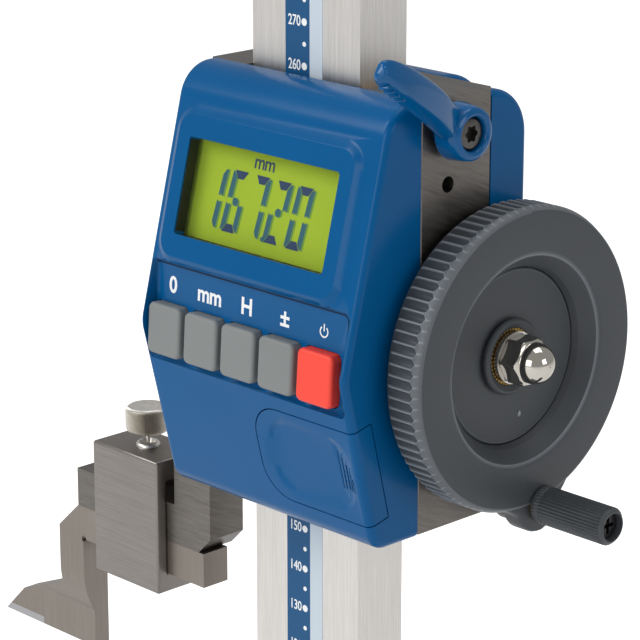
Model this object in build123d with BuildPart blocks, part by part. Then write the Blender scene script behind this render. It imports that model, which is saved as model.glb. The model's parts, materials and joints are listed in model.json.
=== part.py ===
from build123d import *
import os
from math import atan, atan2, cos, degrees, hypot, pi, radians, sin, sqrt, tan

# Digital height gauge with a driving wheel.  Millimetres.  +Z is up.
# The origin is on the base's bottom face, under the column's centre line.
# +Y points to the back of the column, -Y to the display, -X to the scriber.

os.makedirs("parts", exist_ok=True)


def save(piece, name):
    piece.label = name
    export_step(piece, f"parts/{name}.step")


# ---------------------------------------------------------------- driving sizes
reading = 167.2                 # height of the scriber's measuring face above the plate
fit = 0.05                      # running clearance of slides and shafts, per side
gap = 0.3                       # clearance between covers, buttons and their openings

# base
base_length = 155.0             # along X
base_width = 100.0              # along Y
base_height = 23.0
base_corner = 9.0
base_edge = 3.0
boss_length = 52.0
boss_width = 44.0
boss_top = 44.0
boss_corner = 6.0
socket_floor = 8.0              # the column stands this high above the plate
relief_depth = 1.5              # underside relief between the lapped lands
relief_rim = 12.0
centre_land = 30.0
grip_radius = 5.0               # finger grooves along both long sides
grip_height = 12.5

# column
column_width = 34.5             # along X
column_depth = 14.4             # along Y
column_top = 475.0
column_chamfer = 0.5
strip_width = 12.0
strip_shift = -0.5              # scale strip's centre line from the column's centre
strip_depth = 0.4
strip_bottom = 58.0
strip_margin = 4.0              # bare column above the strip

# rack and pinion
module = 0.8
pinion_teeth = 16
backlash = 0.14
rack_width = 8.0
rack_height = 4.4               # from the groove's floor to the tooth tips
rack_bottom = 60.0
rack_top_margin = 34.0
addendum = 0.75
dedendum = 1.05

# slider
block_left = 29.2               # from the column's centre line
block_right = 38.0
block_front = 9.2
block_back = 12.8
block_height = 98.7
block_above_face = 64.7         # block's underside above the measuring face
block_edge = 0.6
gib_thickness = 3.0
gib_screw_inset = 19.7          # gib screws from the block's ends
cover_screw_inset = 16.0        # rear cover screws from the block's ends
housing_screw_inset = 8.5       # housing screws from the block's ends
housing_screw_middle = 64.0     # right upper housing screw above the underside
keeper_thickness = 1.9
keeper_overlap = 2.8
keeper_seat = 5.2               # width bedded on each cheek of the block
keeper_margin = 2.5             # keepers stop this far short of the block's ends

# jaw
jaw_outer = 44.7                # leg's far side from the column's centre line
jaw_inner = 31.7
jaw_thickness = 10.8
jaw_drop = 25.0                 # below the block's underside
arm_height = 10.0
arm_end = 82.3
jaw_chamfer = 4.2

# housing and covers
wall = 2.2
housing_drop = 0.8              # below the block's underside
top_depth = 8.77                # upper face in front of the block's face, at its top
bottom_depth = 13.31            # lower face in front of the block's face, at the bottom
nose_height = 40.4              # nose line above the block's underside
nose_depth = 23.4               # nose line in front of the block's face
top_round = 9.0
nose_round = 8.0
bottom_round = 5.0
side_round = 1.8
cover_depth = 12.0
cover_round = 11.0
bulge_depth = 3.0
bulge_width = 39.0
cover_wall = 2.0

# display
lcd_width = 48.5
lcd_height = 22.4
lcd_centre = 3.0                # window's centre from the column's centre line
lcd_above_block = 72.4          # window's centre above the block's underside
pad_width = 60.4
pad_height = 37.0
pad_rise = 1.2
pad_corner = 6.0
pad_taper = 60.0
lens_thickness = 1.0
glass_thickness = 2.8
board_thickness = 1.6

# buttons
button_count = 5
button_pitch = 12.4
button_width = 11.0
button_height = 12.0
button_rise = 2.8
button_travel = 0.8
button_row = 39.1               # buttons' centre above the block's underside
first_button = -21.9            # centre of the left button
panel_low = 31.6                # panel's lower and upper edges above the underside
panel_high = 55.1
panel_left = 28.0
panel_right = 36.7
panel_sink = 1.2
key_wall = 2.0                  # wall behind the keys' recess

# battery door
door_left = 5.2
door_low = 5.2                  # above the block's underside
door_high = 28.4
door_corner = 8.5
door_depth = 6.0
door_slits = 5
door_dish = 0.6
slit_pitch = 0.95
slit_long = 9.4

# handwheel
wheel_radius = 35.0
wheel_back = 40.25              # X of the rim's back face
rim_width = 9.5
rim_bevel = 2.0
knurl_teeth = 88
knurl_depth = 0.7
lip_radius = 23.9
disc_radius = 19.9
disc_recess = 5.0
hub_radius = 8.1
hub_rise = 0.6
web_thickness = 3.2
shaft_above_block = 38.6
shaft_radius = 3.5
bush_radius = 5.0
stud_radius = 3.0
insert_radius = 6.6             # brass insert, shows round the washer
crank_radius = 35.5
crank_angle = -80.6
ear_radius = 7.0
ear_thickness = 5.0
crank_boss_radius = 5.3
knob_radius = 4.4
knob_length = 21.0
knob_serrations = 36

# clamp lever
lever_above_block = 91.3
lever_y = -0.8
lever_boss_radius = 5.9
lever_boss_length = 5.4
lever_standoff = 2.0
lever_reach = 33.0
lever_angle = 149.0

# scriber clamp
clamp_left = 72.3
clamp_right = 47.8
clamp_wall = 3.0
clamp_back_wall = 1.9
clamp_above_face = 25.8
clamp_height = 34.5
clamp_roof = 5.5
thumb_radius = 5.1
thumb_height = 6.2
thumb_neck = 2.0
thumb_stand = 4.2

# scriber
scriber_thickness = 7.8
shank_height = 8.85
shank_end = 34.2
leg_inner = 80.7
leg_outer = 90.3
tip_reach = 118.0
tip_slope = 0.42                # fall of the foot's top per mm towards the tip
foot_rise = 16.2                # foot's top at the leg, above the measuring face
nose_rise = 7.9                 # where the foot turns down at 45 degrees

# ---------------------------------------------------------------- derived places
block_bottom = reading + block_above_face
block_top = block_bottom + block_height
column_front = -column_depth / 2
column_back = column_depth / 2
pitch_radius = module * pinion_teeth / 2
shaft_y = block_back
shaft_z = block_bottom + shaft_above_block
rack_tip_y = column_back
pitch_y = shaft_y - pitch_radius
jaw_bottom = block_bottom - jaw_drop
jaw_front = -block_front
jaw_back = jaw_front + jaw_thickness
block_centre = (block_right - block_left) / 2
block_width = block_left + block_right


def box(x0, x1, y0, y1, z0, z1, mode=Mode.ADD):
    """A box between two corners, added to the part in hand."""
    with Locations(((x0 + x1) / 2, (y0 + y1) / 2, (z0 + z1) / 2)):
        return Box(x1 - x0, y1 - y0, z1 - z0, mode=mode)


def rod_x(x0, x1, y, z, radius, mode=Mode.ADD):
    """A round bar along X."""
    with Locations(Location(((x0 + x1) / 2, y, z), (0, 90, 0))):
        return Cylinder(radius, x1 - x0, mode=mode)


def rod_y(y0, y1, x, z, radius, mode=Mode.ADD):
    """A round bar along Y."""
    with Locations(Location((x, (y0 + y1) / 2, z), (90, 0, 0))):
        return Cylinder(radius, y1 - y0, mode=mode)


def rod_z(z0, z1, x, y, radius, mode=Mode.ADD):
    """A round bar along Z."""
    with Locations((x, y, (z0 + z1) / 2)):
        return Cylinder(radius, z1 - z0, mode=mode)


# ---------------------------------------------------------------- base and column
screw_heights = (18.0, 34.0)
column_screw_radius = 3.0
column_screw_head = 5.0
head_length = 6.0
screw_bite = 5.0                # thread in the column's back
boss_back = boss_width / 2

with BuildPart() as base:
    with BuildSketch(Plane.XY):
        RectangleRounded(base_length, base_width, base_corner)
    extrude(amount=base_height)
    fillet(base.edges().group_by(Axis.Z)[-1], base_edge)
    with BuildSketch(Plane.XY.offset(base_height)):
        RectangleRounded(boss_length, boss_width, boss_corner)
    extrude(amount=boss_top - base_height)
    fillet(base.faces().sort_by(Axis.Z)[-1].edges(), 2.5)
    # column socket
    with BuildSketch(Plane.XY.offset(socket_floor)):
        Rectangle(column_width, column_depth)
    extrude(amount=boss_top, mode=Mode.SUBTRACT)
    # lapped lands left on the underside
    pocket_length = base_length / 2 - relief_rim - centre_land / 2
    pocket_width = base_width - 2 * relief_rim
    with BuildSketch(Plane.XY):
        with Locations(((centre_land + pocket_length) / 2, 0), (-(centre_land + pocket_length) / 2, 0)):
            RectangleRounded(pocket_length, pocket_width, 6)
    extrude(amount=relief_depth, mode=Mode.SUBTRACT)
    # finger grooves along the long sides
    for side in (-1, 1):
        grip_y = side * (base_width / 2 + grip_radius * 0.55)
        rod_x(-base_length / 2 + 16, base_length / 2 - 16, grip_y, grip_height, grip_radius, Mode.SUBTRACT)
    # counterbored holes for the column's screws, from the back
    for z in screw_heights:
        rod_y(column_back, boss_back, 0, z, column_screw_radius + 0.3, Mode.SUBTRACT)
        rod_y(boss_back - head_length - 0.5, boss_back + 1, 0, z, column_screw_head + 0.4, Mode.SUBTRACT)
save(base.part, "base")

with BuildPart() as column:
    with BuildSketch(Plane.XY.offset(socket_floor)):
        Rectangle(column_width, column_depth)
    extrude(amount=column_top - socket_floor)
    chamfer(column.edges().group_by(Axis.Z)[-1], column_chamfer)
    # shallow seat for the scale strip in the front face
    box(strip_shift - strip_width / 2, strip_shift + strip_width / 2, column_front, column_front + strip_depth,
        strip_bottom, column_top - strip_margin, Mode.SUBTRACT)
    # groove for the rack in the back face
    rack_top = column_top - rack_top_margin
    box(-rack_width / 2, rack_width / 2, column_back - rack_height, column_back, rack_bottom, rack_top,
        Mode.SUBTRACT)
    for z in screw_heights:
        rod_y(column_back - screw_bite, column_back, 0, z, column_screw_radius, Mode.SUBTRACT)
    stop_z = column_top - 7
    rod_y(column_back - 6, column_back, 0, stop_z, 2.0, Mode.SUBTRACT)
save(column.part, "column")

with BuildPart() as scale_strip:
    box(strip_shift - strip_width / 2, strip_shift + strip_width / 2, column_front, column_front + strip_depth,
        strip_bottom, column_top - strip_margin)
save(scale_strip.part, "scale_strip")


def hex_key_screw(y_head, x, z, thread, head, head_long, thread_end, socket):
    """A socket-head screw along Y whose head faces the back."""
    with BuildPart() as screw:
        rod_y(y_head - head_long, y_head, x, z, head)
        rod_y(thread_end, y_head - head_long, x, z, thread)
        with BuildSketch(Plane(origin=(x, y_head, z), x_dir=(1, 0, 0), z_dir=(0, 1, 0))):
            RegularPolygon(socket, 6)
        extrude(amount=-head_long * 0.55, mode=Mode.SUBTRACT)
    return screw.part


column_screws = Compound(children=[
    hex_key_screw(boss_back - 0.4, 0, z, column_screw_radius, column_screw_head, head_length,
                  column_back - screw_bite, 2.9) for z in screw_heights])
save(column_screws, "column_screws")

stop_screw = hex_key_screw(column_back + 3.2, 0, stop_z, 2.0, 3.6, 3.2, column_back - 6, 1.7)
save(stop_screw, "stop_screw")

# rack teeth: straight flanks about the pitch line, one tooth level with the pinion's axis
pitch = pi * module
tooth_half = pitch / 4 - backlash / 4
flank = tan(radians(20))
tip_half = tooth_half - addendum * flank
root_half = tooth_half + dedendum * flank
rack_tip_line = pitch_y + addendum
rack_root_line = pitch_y - dedendum
first_tooth = -int((shaft_z - rack_bottom - root_half) / pitch)
last_tooth = int((rack_top - shaft_z - root_half) / pitch)
rack_points = [(column_back - rack_height, rack_bottom), (rack_root_line, rack_bottom)]
for tooth in range(first_tooth, last_tooth + 1):
    z = shaft_z + tooth * pitch
    rack_points += [(rack_root_line, z - root_half), (rack_tip_line, z - tip_half),
                    (rack_tip_line, z + tip_half), (rack_root_line, z + root_half)]
rack_points += [(rack_root_line, rack_top), (column_back - rack_height, rack_top)]
with BuildPart() as rack:
    with BuildSketch(Plane.YZ.offset(-rack_width / 2)):
        with BuildLine():
            Polyline(*rack_points, close=True)
        make_face()
    extrude(amount=rack_width)
save(rack.part, "rack")

# ---------------------------------------------------------------- slider block with its jaw
half_channel = column_width / 2 + fit
channel_back = column_back + fit
gib_wall = half_channel + gib_thickness + fit
gib_y0 = -column_depth / 2 + 1.5
gib_y1 = column_depth / 2 - 1.5
keeper_y = column_front - fit
keeper_left = -half_channel - keeper_seat
keeper_right = gib_wall + keeper_seat
keeper_screw_x = (keeper_left + 2.6, keeper_right - 2.6)
keeper_screw_z = [block_bottom + block_height * k for k in (0.12, 0.5, 0.86)]
lever_z = block_bottom + lever_above_block
gib_screw_z = (block_top - gib_screw_inset, block_bottom + gib_screw_inset)
gib_screw_radius = 1.8
shaft_slot = shaft_radius + 0.35
pinion_tip = pitch_radius + 0.72
pinion_pocket = pinion_tip + 0.9
bush_left = (-24.0, -18.5)
bush_right = (26.0, block_right)
screw_left = -block_left + 4.0
screw_right = block_right - 5.4
housing_screw_places = [(screw_left, block_bottom + housing_screw_inset),
                        (screw_left, block_top - housing_screw_inset),
                        (screw_right, block_bottom + housing_screw_inset),
                        (screw_right, block_bottom + housing_screw_middle)]
cap_height = 17.0
cap_depth = 8.0
cap_screw_offset = 6.4
cover_screw_places = [(-block_left + 4.2, block_bottom + cover_screw_inset),
                      (-block_left + 4.2, block_top - cover_screw_inset - 8),
                      (block_right - 4.4, block_bottom + cover_screw_inset),
                      (block_right - 4.4, block_top - cover_screw_inset)]

with BuildPart() as slider_block:
    box(-block_left, block_right, -block_front, block_back, block_bottom, block_top)
    chamfer(slider_block.edges().filter_by(Axis.Z), 0.4)
    # jaw leg beside the block, joined to its left side above the underside
    box(-jaw_outer, -block_left, jaw_front, jaw_back, block_bottom, block_bottom + 24)
    box(-jaw_outer, -jaw_inner, jaw_front, jaw_back, jaw_bottom, block_bottom + 24)
    box(-arm_end, -jaw_outer, jaw_front, jaw_back, jaw_bottom, jaw_bottom + arm_height)
    corner = slider_block.edges().filter_by(Axis.Y).sort_by_distance((-jaw_inner, 0, jaw_bottom))[0]
    chamfer(corner, jaw_chamfer)
    # channel for the column, open to the front, with room for the gib on the right
    box(-half_channel, gib_wall, -block_front - 1, channel_back, block_bottom - 1, block_top + 1,
        Mode.SUBTRACT)
    # seats for the two keeper strips
    for x_wall, x_far in ((-half_channel, keeper_left), (gib_wall, keeper_right)):
        box(min(x_wall, x_far), max(x_wall, x_far), -block_front - 1, keeper_y,
            block_bottom + keeper_margin, block_top - keeper_margin, Mode.SUBTRACT)
    # clamp screw and gib screws pass through the right cheek
    rod_x(gib_wall - 1, block_right + 1, lever_y, lever_z, 2.5 + fit, Mode.SUBTRACT)
    for z in gib_screw_z:
        rod_x(gib_wall - 1, block_right + 1, lever_y, z, gib_screw_radius + 0.03, Mode.SUBTRACT)
    # half-round seats for the shaft and its bushes, and the pinion's pocket
    rod_x(bush_left[0] - 0.5, block_right + 1, shaft_y, shaft_z, shaft_slot, Mode.SUBTRACT)
    rod_x(bush_left[0], bush_left[1], shaft_y, shaft_z, bush_radius, Mode.SUBTRACT)
    rod_x(bush_right[0], bush_right[1] + 1, shaft_y, shaft_z, bush_radius, Mode.SUBTRACT)
    rod_x(-rack_width / 2 - 0.8, rack_width / 2 + 0.8, shaft_y, shaft_z, pinion_pocket, Mode.SUBTRACT)
    # housing screws from the back, heads sunk
    for x, z in housing_screw_places:
        rod_y(-block_front - 1, block_back + 1, x, z, 1.6, Mode.SUBTRACT)
        rod_y(block_back - 3.2, block_back + 1, x, z, 3.0, Mode.SUBTRACT)
    # threads for the bearing caps and the rear cover
    for x in (sum(bush_left) / 2, sum(bush_right) / 2 - 1.5):
        for side in (-1, 1):
            rod_y(block_back - 6, block_back + 1, x, shaft_z + side * cap_screw_offset, 1.25, Mode.SUBTRACT)
    for x, z in cover_screw_places:
        rod_y(block_back - 6, block_back + 1, x, z, 1.25, Mode.SUBTRACT)
    # threads for the keeper strips
    for x in keeper_screw_x:
        for z in keeper_screw_z:
            rod_y(keeper_y, keeper_y + 5, x, z, 1.0, Mode.SUBTRACT)
save(slider_block.part, "slider_block")

with BuildPart() as gib_strip:
    box(half_channel, half_channel + gib_thickness, gib_y0, gib_y1, block_bottom + 1, block_top - 1)
    for z in gib_screw_z:
        rod_x(half_channel + 1.2, half_channel + 4, lever_y, z, gib_screw_radius + 0.05, Mode.SUBTRACT)
save(gib_strip.part, "gib_strip")


def grub_screw(x0, x1, z):
    with BuildPart() as screw:
        rod_x(x0, x1, lever_y, z, gib_screw_radius)
        with BuildSketch(Plane(origin=(x1, lever_y, z), x_dir=(0, 1, 0), z_dir=(1, 0, 0))):
            RegularPolygon(1.0, 6)
        extrude(amount=-2.2, mode=Mode.SUBTRACT)
    return screw.part


gib_screws = Compound(children=[grub_screw(half_channel + 1.2, block_right - 3.5, z) for z in gib_screw_z])
save(gib_screws, "gib_screws")

with BuildPart() as clamp_plug:
    rod_x(gib_wall + 0.2, gib_wall + 3.2, lever_y, lever_z, 2.4)
save(clamp_plug.part, "clamp_plug")


def keeper(x_near, x_far, x_screw):
    """One flat strip that holds the column's front edge, with countersunk holes."""
    with BuildPart() as strip:
        box(min(x_near, x_far), max(x_near, x_far), keeper_y - keeper_thickness, keeper_y,
            block_bottom + keeper_margin, block_top - keeper_margin)
        for z in keeper_screw_z:
            rod_y(keeper_y - 3, keeper_y, x_screw, z, 1.1, Mode.SUBTRACT)
            with Locations(Location((x_screw, keeper_y - keeper_thickness + 0.6, z), (90, 0, 0))):
                Cone(1.1, 2.1, 1.2, mode=Mode.SUBTRACT)
    return strip.part


def keeper_screw(x, z):
    """A countersunk screw along Y whose head faces the front."""
    head_y = keeper_y - keeper_thickness
    with BuildPart() as screw:
        with Locations(Location((x, head_y + 0.6, z), (90, 0, 0))):
            Cone(1.0, 2.0, 1.2)
        rod_y(head_y + 1.2, keeper_y + 5, x, z, 1.0)
        box(x - 1.5, x + 1.5, head_y - 1, head_y + 0.5, z - 0.25, z + 0.25, Mode.SUBTRACT)
    return screw.part


keeper_edge = column_width / 2 - keeper_overlap
keeper_strips = Compound(children=[
    keeper(-keeper_edge, keeper_left, keeper_screw_x[0]),
    keeper(keeper_edge, keeper_right, keeper_screw_x[1])])
save(keeper_strips, "keeper_strips")
keeper_screws = Compound(children=[keeper_screw(x, z) for x in keeper_screw_x for z in keeper_screw_z])
save(keeper_screws, "keeper_screws")

# ---------------------------------------------------------------- bearings and rear cover
bush_gap = 0.02
bush_centres = (sum(bush_left) / 2, sum(bush_right) / 2 - 1.5)


def bush(x0, x1):
    with BuildPart() as ring:
        rod_x(x0, x1, shaft_y, shaft_z, bush_radius - bush_gap)
        rod_x(x0 - 1, x1 + 1, shaft_y, shaft_z, shaft_radius + bush_gap, Mode.SUBTRACT)
    return ring.part


bearing_bushes = Compound(children=[bush(*bush_left), bush(bush_right[0], bush_right[1] + 0.2)])
save(bearing_bushes, "bearing_bushes")


def bearing_cap(x0, x1, x_screws):
    """The rear half of a split bearing, held by two screws."""
    with BuildPart() as cap:
        box(x0, x1, block_back + 0.05, block_back + cap_depth, shaft_z - cap_height / 2, shaft_z + cap_height / 2)
        rod_x(x0 - 1, x1 + 1, shaft_y, shaft_z, bush_radius, Mode.SUBTRACT)
        for side in (-1, 1):
            rod_y(block_back - 1, block_back + cap_depth + 1, x_screws, shaft_z + side * cap_screw_offset,
                  1.35, Mode.SUBTRACT)
    return cap.part


bearing_caps = Compound(children=[
    bearing_cap(bush_left[0], bush_left[1], bush_centres[0]),
    bearing_cap(bush_right[0], block_right - cover_wall - 1.2, bush_centres[1])])
save(bearing_caps, "bearing_caps")

cap_screws = Compound(children=[
    hex_key_screw(block_back + cap_depth + 2.0, x, shaft_z + side * cap_screw_offset, 1.25, 2.0, 2.0,
                  block_back - 6, 1.0) for x in bush_centres for side in (-1, 1)])
save(cap_screws, "cap_screws")

cover_top = block_top - 1.0


def cover_profile(depth, top, inset, rounding):
    """Side outline of the rear cover, in a plane across X."""
    with BuildSketch(Plane.YZ) as outline:
        with BuildLine():
            Polyline((block_back - inset * 2, block_bottom + inset), (block_back + depth - inset, block_bottom + inset),
                     (block_back + depth - inset, top - inset), (block_back - inset * 2, top - inset), close=True)
        make_face()
        far = block_back + depth - inset
        fillet(outline.vertices().sort_by_distance((far, top - inset))[0], rounding)
        fillet(outline.vertices().sort_by_distance((far, block_bottom + inset))[0], 2.0)
    return outline.sketch


bulge_left = lcd_centre + 1.2 - bulge_width / 2
bulge_right = bulge_left + bulge_width
cover_main = extrude(Pos(-block_left, 0, 0) * cover_profile(cover_depth, cover_top, 0, cover_round),
                     amount=block_width)
cover_bulge = extrude(Pos(bulge_left, 0, 0) * cover_profile(cover_depth + bulge_depth, block_top, 0, 13.0),
                      amount=bulge_width)
cover_space = extrude(
    Pos(-block_left + cover_wall, 0, 0) * cover_profile(cover_depth, cover_top, cover_wall, cover_round - cover_wall),
    amount=block_width - 2 * cover_wall)

with BuildPart() as cover_ridge:
    add(cover_bulge)
    side_edges = cover_ridge.faces().filter_by(Axis.X).edges()
    fillet([e for e in side_edges if e.center().Y > block_back + cover_depth - 3], 1.8)

with BuildPart() as rear_cover:
    add(cover_main)
    side_edges = rear_cover.faces().filter_by(Axis.X).edges()
    fillet([e for e in side_edges if e.center().Y > block_back + 0.5], 1.8)
    add(cover_ridge.part)
    add(cover_space, mode=Mode.SUBTRACT)
    for x, z in cover_screw_places:
        rod_y(block_back, block_back + cover_depth - 1, x, z, 3.0)
    box(-block_left - 8, -block_left, block_back - 1, block_back + 30, block_bottom - 1, block_top + 1, Mode.SUBTRACT)
    box(block_right, block_right + 8, block_back - 1, block_back + 30, block_bottom - 1, block_top + 1, Mode.SUBTRACT)
    box(-block_left - 1, block_right + 1, block_back - 10, block_back + 0.05, block_bottom - 1, block_top + 1,
        Mode.SUBTRACT)
    for x, z in cover_screw_places:
        rod_y(block_back - 1, block_back + cover_depth + 1, x, z, 1.35, Mode.SUBTRACT)
        rod_y(block_back + cover_depth - 3.0, block_back + cover_depth + 1, x, z, 2.4, Mode.SUBTRACT)
    # mouth for the shaft's right bush
    rod_x(block_right - cover_wall - 2, block_right + 1, shaft_y, shaft_z, bush_radius + gap, Mode.SUBTRACT)
save(rear_cover.part, "rear_cover")

rear_cover_screws = Compound(children=[
    hex_key_screw(block_back + cover_depth - 0.9, x, z, 1.25, 2.1, 2.05, block_back - 6, 1.1)
    for x, z in cover_screw_places])
save(rear_cover_screws, "rear_cover_screws")

# ---------------------------------------------------------------- front housing
front_lean = (nose_depth - top_depth) / (block_height - nose_height)
under_lean = (nose_depth - bottom_depth) / (nose_height + housing_drop)
nose_y = -block_front - nose_depth
nose_z = block_bottom + nose_height
housing_bottom = block_bottom - housing_drop
lean = hypot(1, front_lean)
slope = hypot(1, under_lean)


def upper_y(z):
    return nose_y + front_lean * (z - nose_z)


def lower_y(z):
    return nose_y + under_lean * (nose_z - z)


def upper_plane(x, z, depth=0.0):
    """Plane on the upper face: X to the right, Y up the slope, Z outward."""
    origin = (x, upper_y(z) + depth / lean, z - depth * front_lean / lean)
    return Plane(origin=origin, x_dir=(1, 0, 0), z_dir=(0, -1, front_lean))


def lower_plane(x, z, depth=0.0):
    """Plane on the lower face: X to the right, Y up the slope, Z outward."""
    origin = (x, lower_y(z) + depth / slope, z + depth * under_lean / slope)
    return Plane(origin=origin, x_dir=(1, 0, 0), z_dir=(0, -1, -under_lean))


with BuildSketch(Plane.YZ) as housing_outline:
    with BuildLine():
        Polyline((-block_front, housing_bottom), (lower_y(housing_bottom), housing_bottom), (nose_y, nose_z),
                 (upper_y(block_top), block_top), (-block_front, block_top), close=True)
    make_face()
    fillet(housing_outline.vertices().sort_by_distance((upper_y(block_top), block_top))[0], top_round)
    fillet(housing_outline.vertices().sort_by_distance((nose_y, nose_z))[0], nose_round)
    fillet(housing_outline.vertices().sort_by_distance((lower_y(housing_bottom), housing_bottom))[0],
           bottom_round)

# facet for the buttons, chord across the nose
panel_z0 = block_bottom + panel_low
panel_z1 = block_bottom + panel_high
panel_y0 = lower_y(panel_z0)
panel_y1 = upper_y(panel_z1)
panel_tilt = (panel_y1 - panel_y0) / (panel_z1 - panel_z0)
panel_length = hypot(panel_y1 - panel_y0, panel_z1 - panel_z0)


def panel_plane(x, depth=0.0):
    """Plane on the facet at the buttons' height: Y up the slope, Z outward."""
    unit = hypot(1, panel_tilt)
    z = block_bottom + button_row
    y = panel_y0 + panel_tilt * (z - panel_z0)
    origin = (x, y + depth / unit, z - depth * panel_tilt / unit)
    return Plane(origin=origin, x_dir=(1, 0, 0), z_dir=(0, -1, panel_tilt))


def plate(plane, width, height, thick, corner=0.0, mode=Mode.ADD):
    """A plate on a plane, centred on its origin, growing outward."""
    with BuildSketch(plane) as face:
        if corner > 0:
            RectangleRounded(width, height, corner)
        else:
            Rectangle(width, height)
    return extrude(face.sketch, amount=thick, mode=mode)


with BuildPart() as outer_skin:
    with BuildSketch(Plane.YZ.offset(-block_left)):
        add(housing_outline.sketch_local)
    extrude(amount=block_width)
    skin_edges = outer_skin.faces().filter_by(Axis.X).edges()
    fillet([e for e in skin_edges if e.center().Y < -block_front - 0.1], side_round)

with BuildPart() as inner_space:
    with BuildSketch(Plane.YZ.offset(-block_left + wall)):
        offset(housing_outline.sketch_local, amount=-wall, kind=Kind.INTERSECTION)
    extrude(amount=block_width - 2 * wall)
    box(-block_left + wall, block_right - wall, -block_front - wall - 1.0, -block_front + 1,
        housing_bottom + wall, block_top - wall)
    # thicker wall behind the button facet
    plate(panel_plane(block_centre, panel_sink + key_wall), block_width + 2, panel_length + 30, 20,
          mode=Mode.SUBTRACT)

window_z = block_bottom + lcd_above_block
button_x = [first_button + button_pitch * k for k in range(button_count)]
button_gap = 0.2
door_z = block_bottom + (door_low + door_high) / 2
door_height = (door_high - door_low) * slope
door_long = 60.0
door_centre = door_left + door_long / 2
post_radius = 3.4
lens_seat = 1.8
panel_wall = panel_sink + key_wall
stem_end = panel_wall + 2.2
key_studs = (button_x[0] - 2.1, button_x[2] + 6.2, button_x[4] + 4.85)
switch_top = stem_end + button_travel + 1.1
key_board_depth = switch_top + 2.0

with BuildPart() as front_housing:
    add(outer_skin.part)
    # raised pad around the display
    pad_plane = upper_plane(lcd_centre, window_z)
    with BuildSketch(pad_plane):
        RectangleRounded(pad_width, pad_height, pad_corner)
    extrude(amount=pad_rise, taper=pad_taper)
    pad_top = front_housing.faces().sort_by(Axis(pad_plane.origin, pad_plane.z_dir))[-1]
    fillet(pad_top.edges(), 0.7)
    add(inner_space.part, mode=Mode.SUBTRACT)
    # window, with a rebate for the lens on the inside
    plate(upper_plane(lcd_centre, window_z, 8), lcd_width, lcd_height, 14, 0.8, Mode.SUBTRACT)
    # frame behind the window that holds lens and display
    plate(upper_plane(lcd_centre, window_z, 6.4), lcd_width + 6.4, lcd_height + 6.4, 4.6, 1.0)
    plate(upper_plane(lcd_centre, window_z, 6.5), lcd_width + 3.6, lcd_height + 3.6, 6.5 - lens_seat, 0.6,
          Mode.SUBTRACT)
    # recessed panel with five openings
    panel_middle = (panel_right - panel_left) / 2
    panel_mid_z = (panel_low + panel_high) / 2 - button_row
    with BuildSketch(panel_plane(panel_middle, panel_sink)):
        with Locations((0, panel_mid_z)):
            RectangleRounded(panel_left + panel_right, panel_length, 1.5)
    extrude(amount=8, mode=Mode.SUBTRACT)
    for x in button_x:
        plate(panel_plane(x, 6), button_width + 2 * button_gap, button_height + 2 * button_gap, 12, 1.6,
              Mode.SUBTRACT)
    # studs for the key board
    for x in key_studs:
        for y in (-9.6, 9.6):
            with BuildSketch(panel_plane(x, key_board_depth - gap)):
                with Locations((0, y)):
                    Circle(1.6)
            extrude(amount=key_board_depth - gap - panel_wall + 0.2)
            with BuildSketch(panel_plane(x, key_board_depth + board_thickness + 0.5)):
                with Locations((0, y)):
                    Circle(0.9)
            extrude(amount=3)
    # battery door opening
    plate(lower_plane(door_centre, door_z, door_depth), door_long, door_height, 20, door_corner, Mode.SUBTRACT)
    # posts for the housing's screws
    for x, z in housing_screw_places:
        post_front = -block_front - 7.6
        rod_y(post_front, -block_front, x, z, post_radius)
        rod_y(-block_front - 6, -block_front + 1, x, z, 1.5, Mode.SUBTRACT)
save(front_housing.part, "front_housing")


def housing_screw(x, z):
    return hex_key_screw(block_back - 0.2, x, z, 1.5, 2.75, 2.9, -block_front - 6, 1.3)


housing_screws = Compound(children=[housing_screw(x, z) for x, z in housing_screw_places])
save(housing_screws, "housing_screws")

with BuildPart() as battery_cover:
    add(outer_skin.part)
    add(inner_space.part, mode=Mode.SUBTRACT)
    plate(lower_plane(door_centre, door_z, door_depth - gap), door_long - 2 * gap, door_height - 2 * gap, 20,
          door_corner - gap, Mode.INTERSECT)
    # thumb dish with raised ribs between slits
    dish_left = door_left + 4.0
    dish_right = block_right - 2.6
    with BuildSketch(lower_plane((dish_left + dish_right) / 2, door_z)):
        RectangleRounded(dish_right - dish_left, door_height - 5.0, door_corner - 2.5)
    extrude(amount=-door_dish, taper=70, mode=Mode.SUBTRACT)
    for k in range(door_slits):
        slit = slit_long - 1.5 * k
        x = block_right - 6.6 + slit_pitch * k
        z = door_z + 1.2 - (slit_long - slit) / 2 / slope
        plate(lower_plane(x, z, door_dish + 0.5), 0.4, slit, 2, mode=Mode.SUBTRACT)
save(battery_cover.part, "battery_cover")

for number, x in enumerate(button_x, start=1):
    with BuildPart() as button:
        plate(panel_plane(x, panel_wall + 0.35), button_width, button_height,
              panel_wall + 0.35 + button_rise - panel_sink, 1.6)
        fillet(button.faces().sort_by(Axis.Y)[0].edges(), 0.9)
        plate(panel_plane(x, panel_wall + 1.35), button_width - 1.4, button_height + 2.0, 1.0)
        with BuildSketch(panel_plane(x, stem_end)):
            Circle(1.5)
        extrude(amount=1)
    save(button.part, f"button_{number}")

# display glass, lens and boards
with BuildPart() as lcd_window:
    plate(upper_plane(lcd_centre, window_z, lens_seat + gap + lens_thickness), lcd_width + 3.0, lcd_height + 3.0,
          lens_thickness, 0.4)
save(lcd_window.part, "lcd_window")

lcd_depth = lens_seat + 2 * gap + lens_thickness + glass_thickness
with BuildPart() as lcd_panel:
    plate(upper_plane(lcd_centre, window_z, lcd_depth), lcd_width + 3.0, lcd_height + 3.0, glass_thickness)
save(lcd_panel.part, "lcd_panel")

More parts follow.
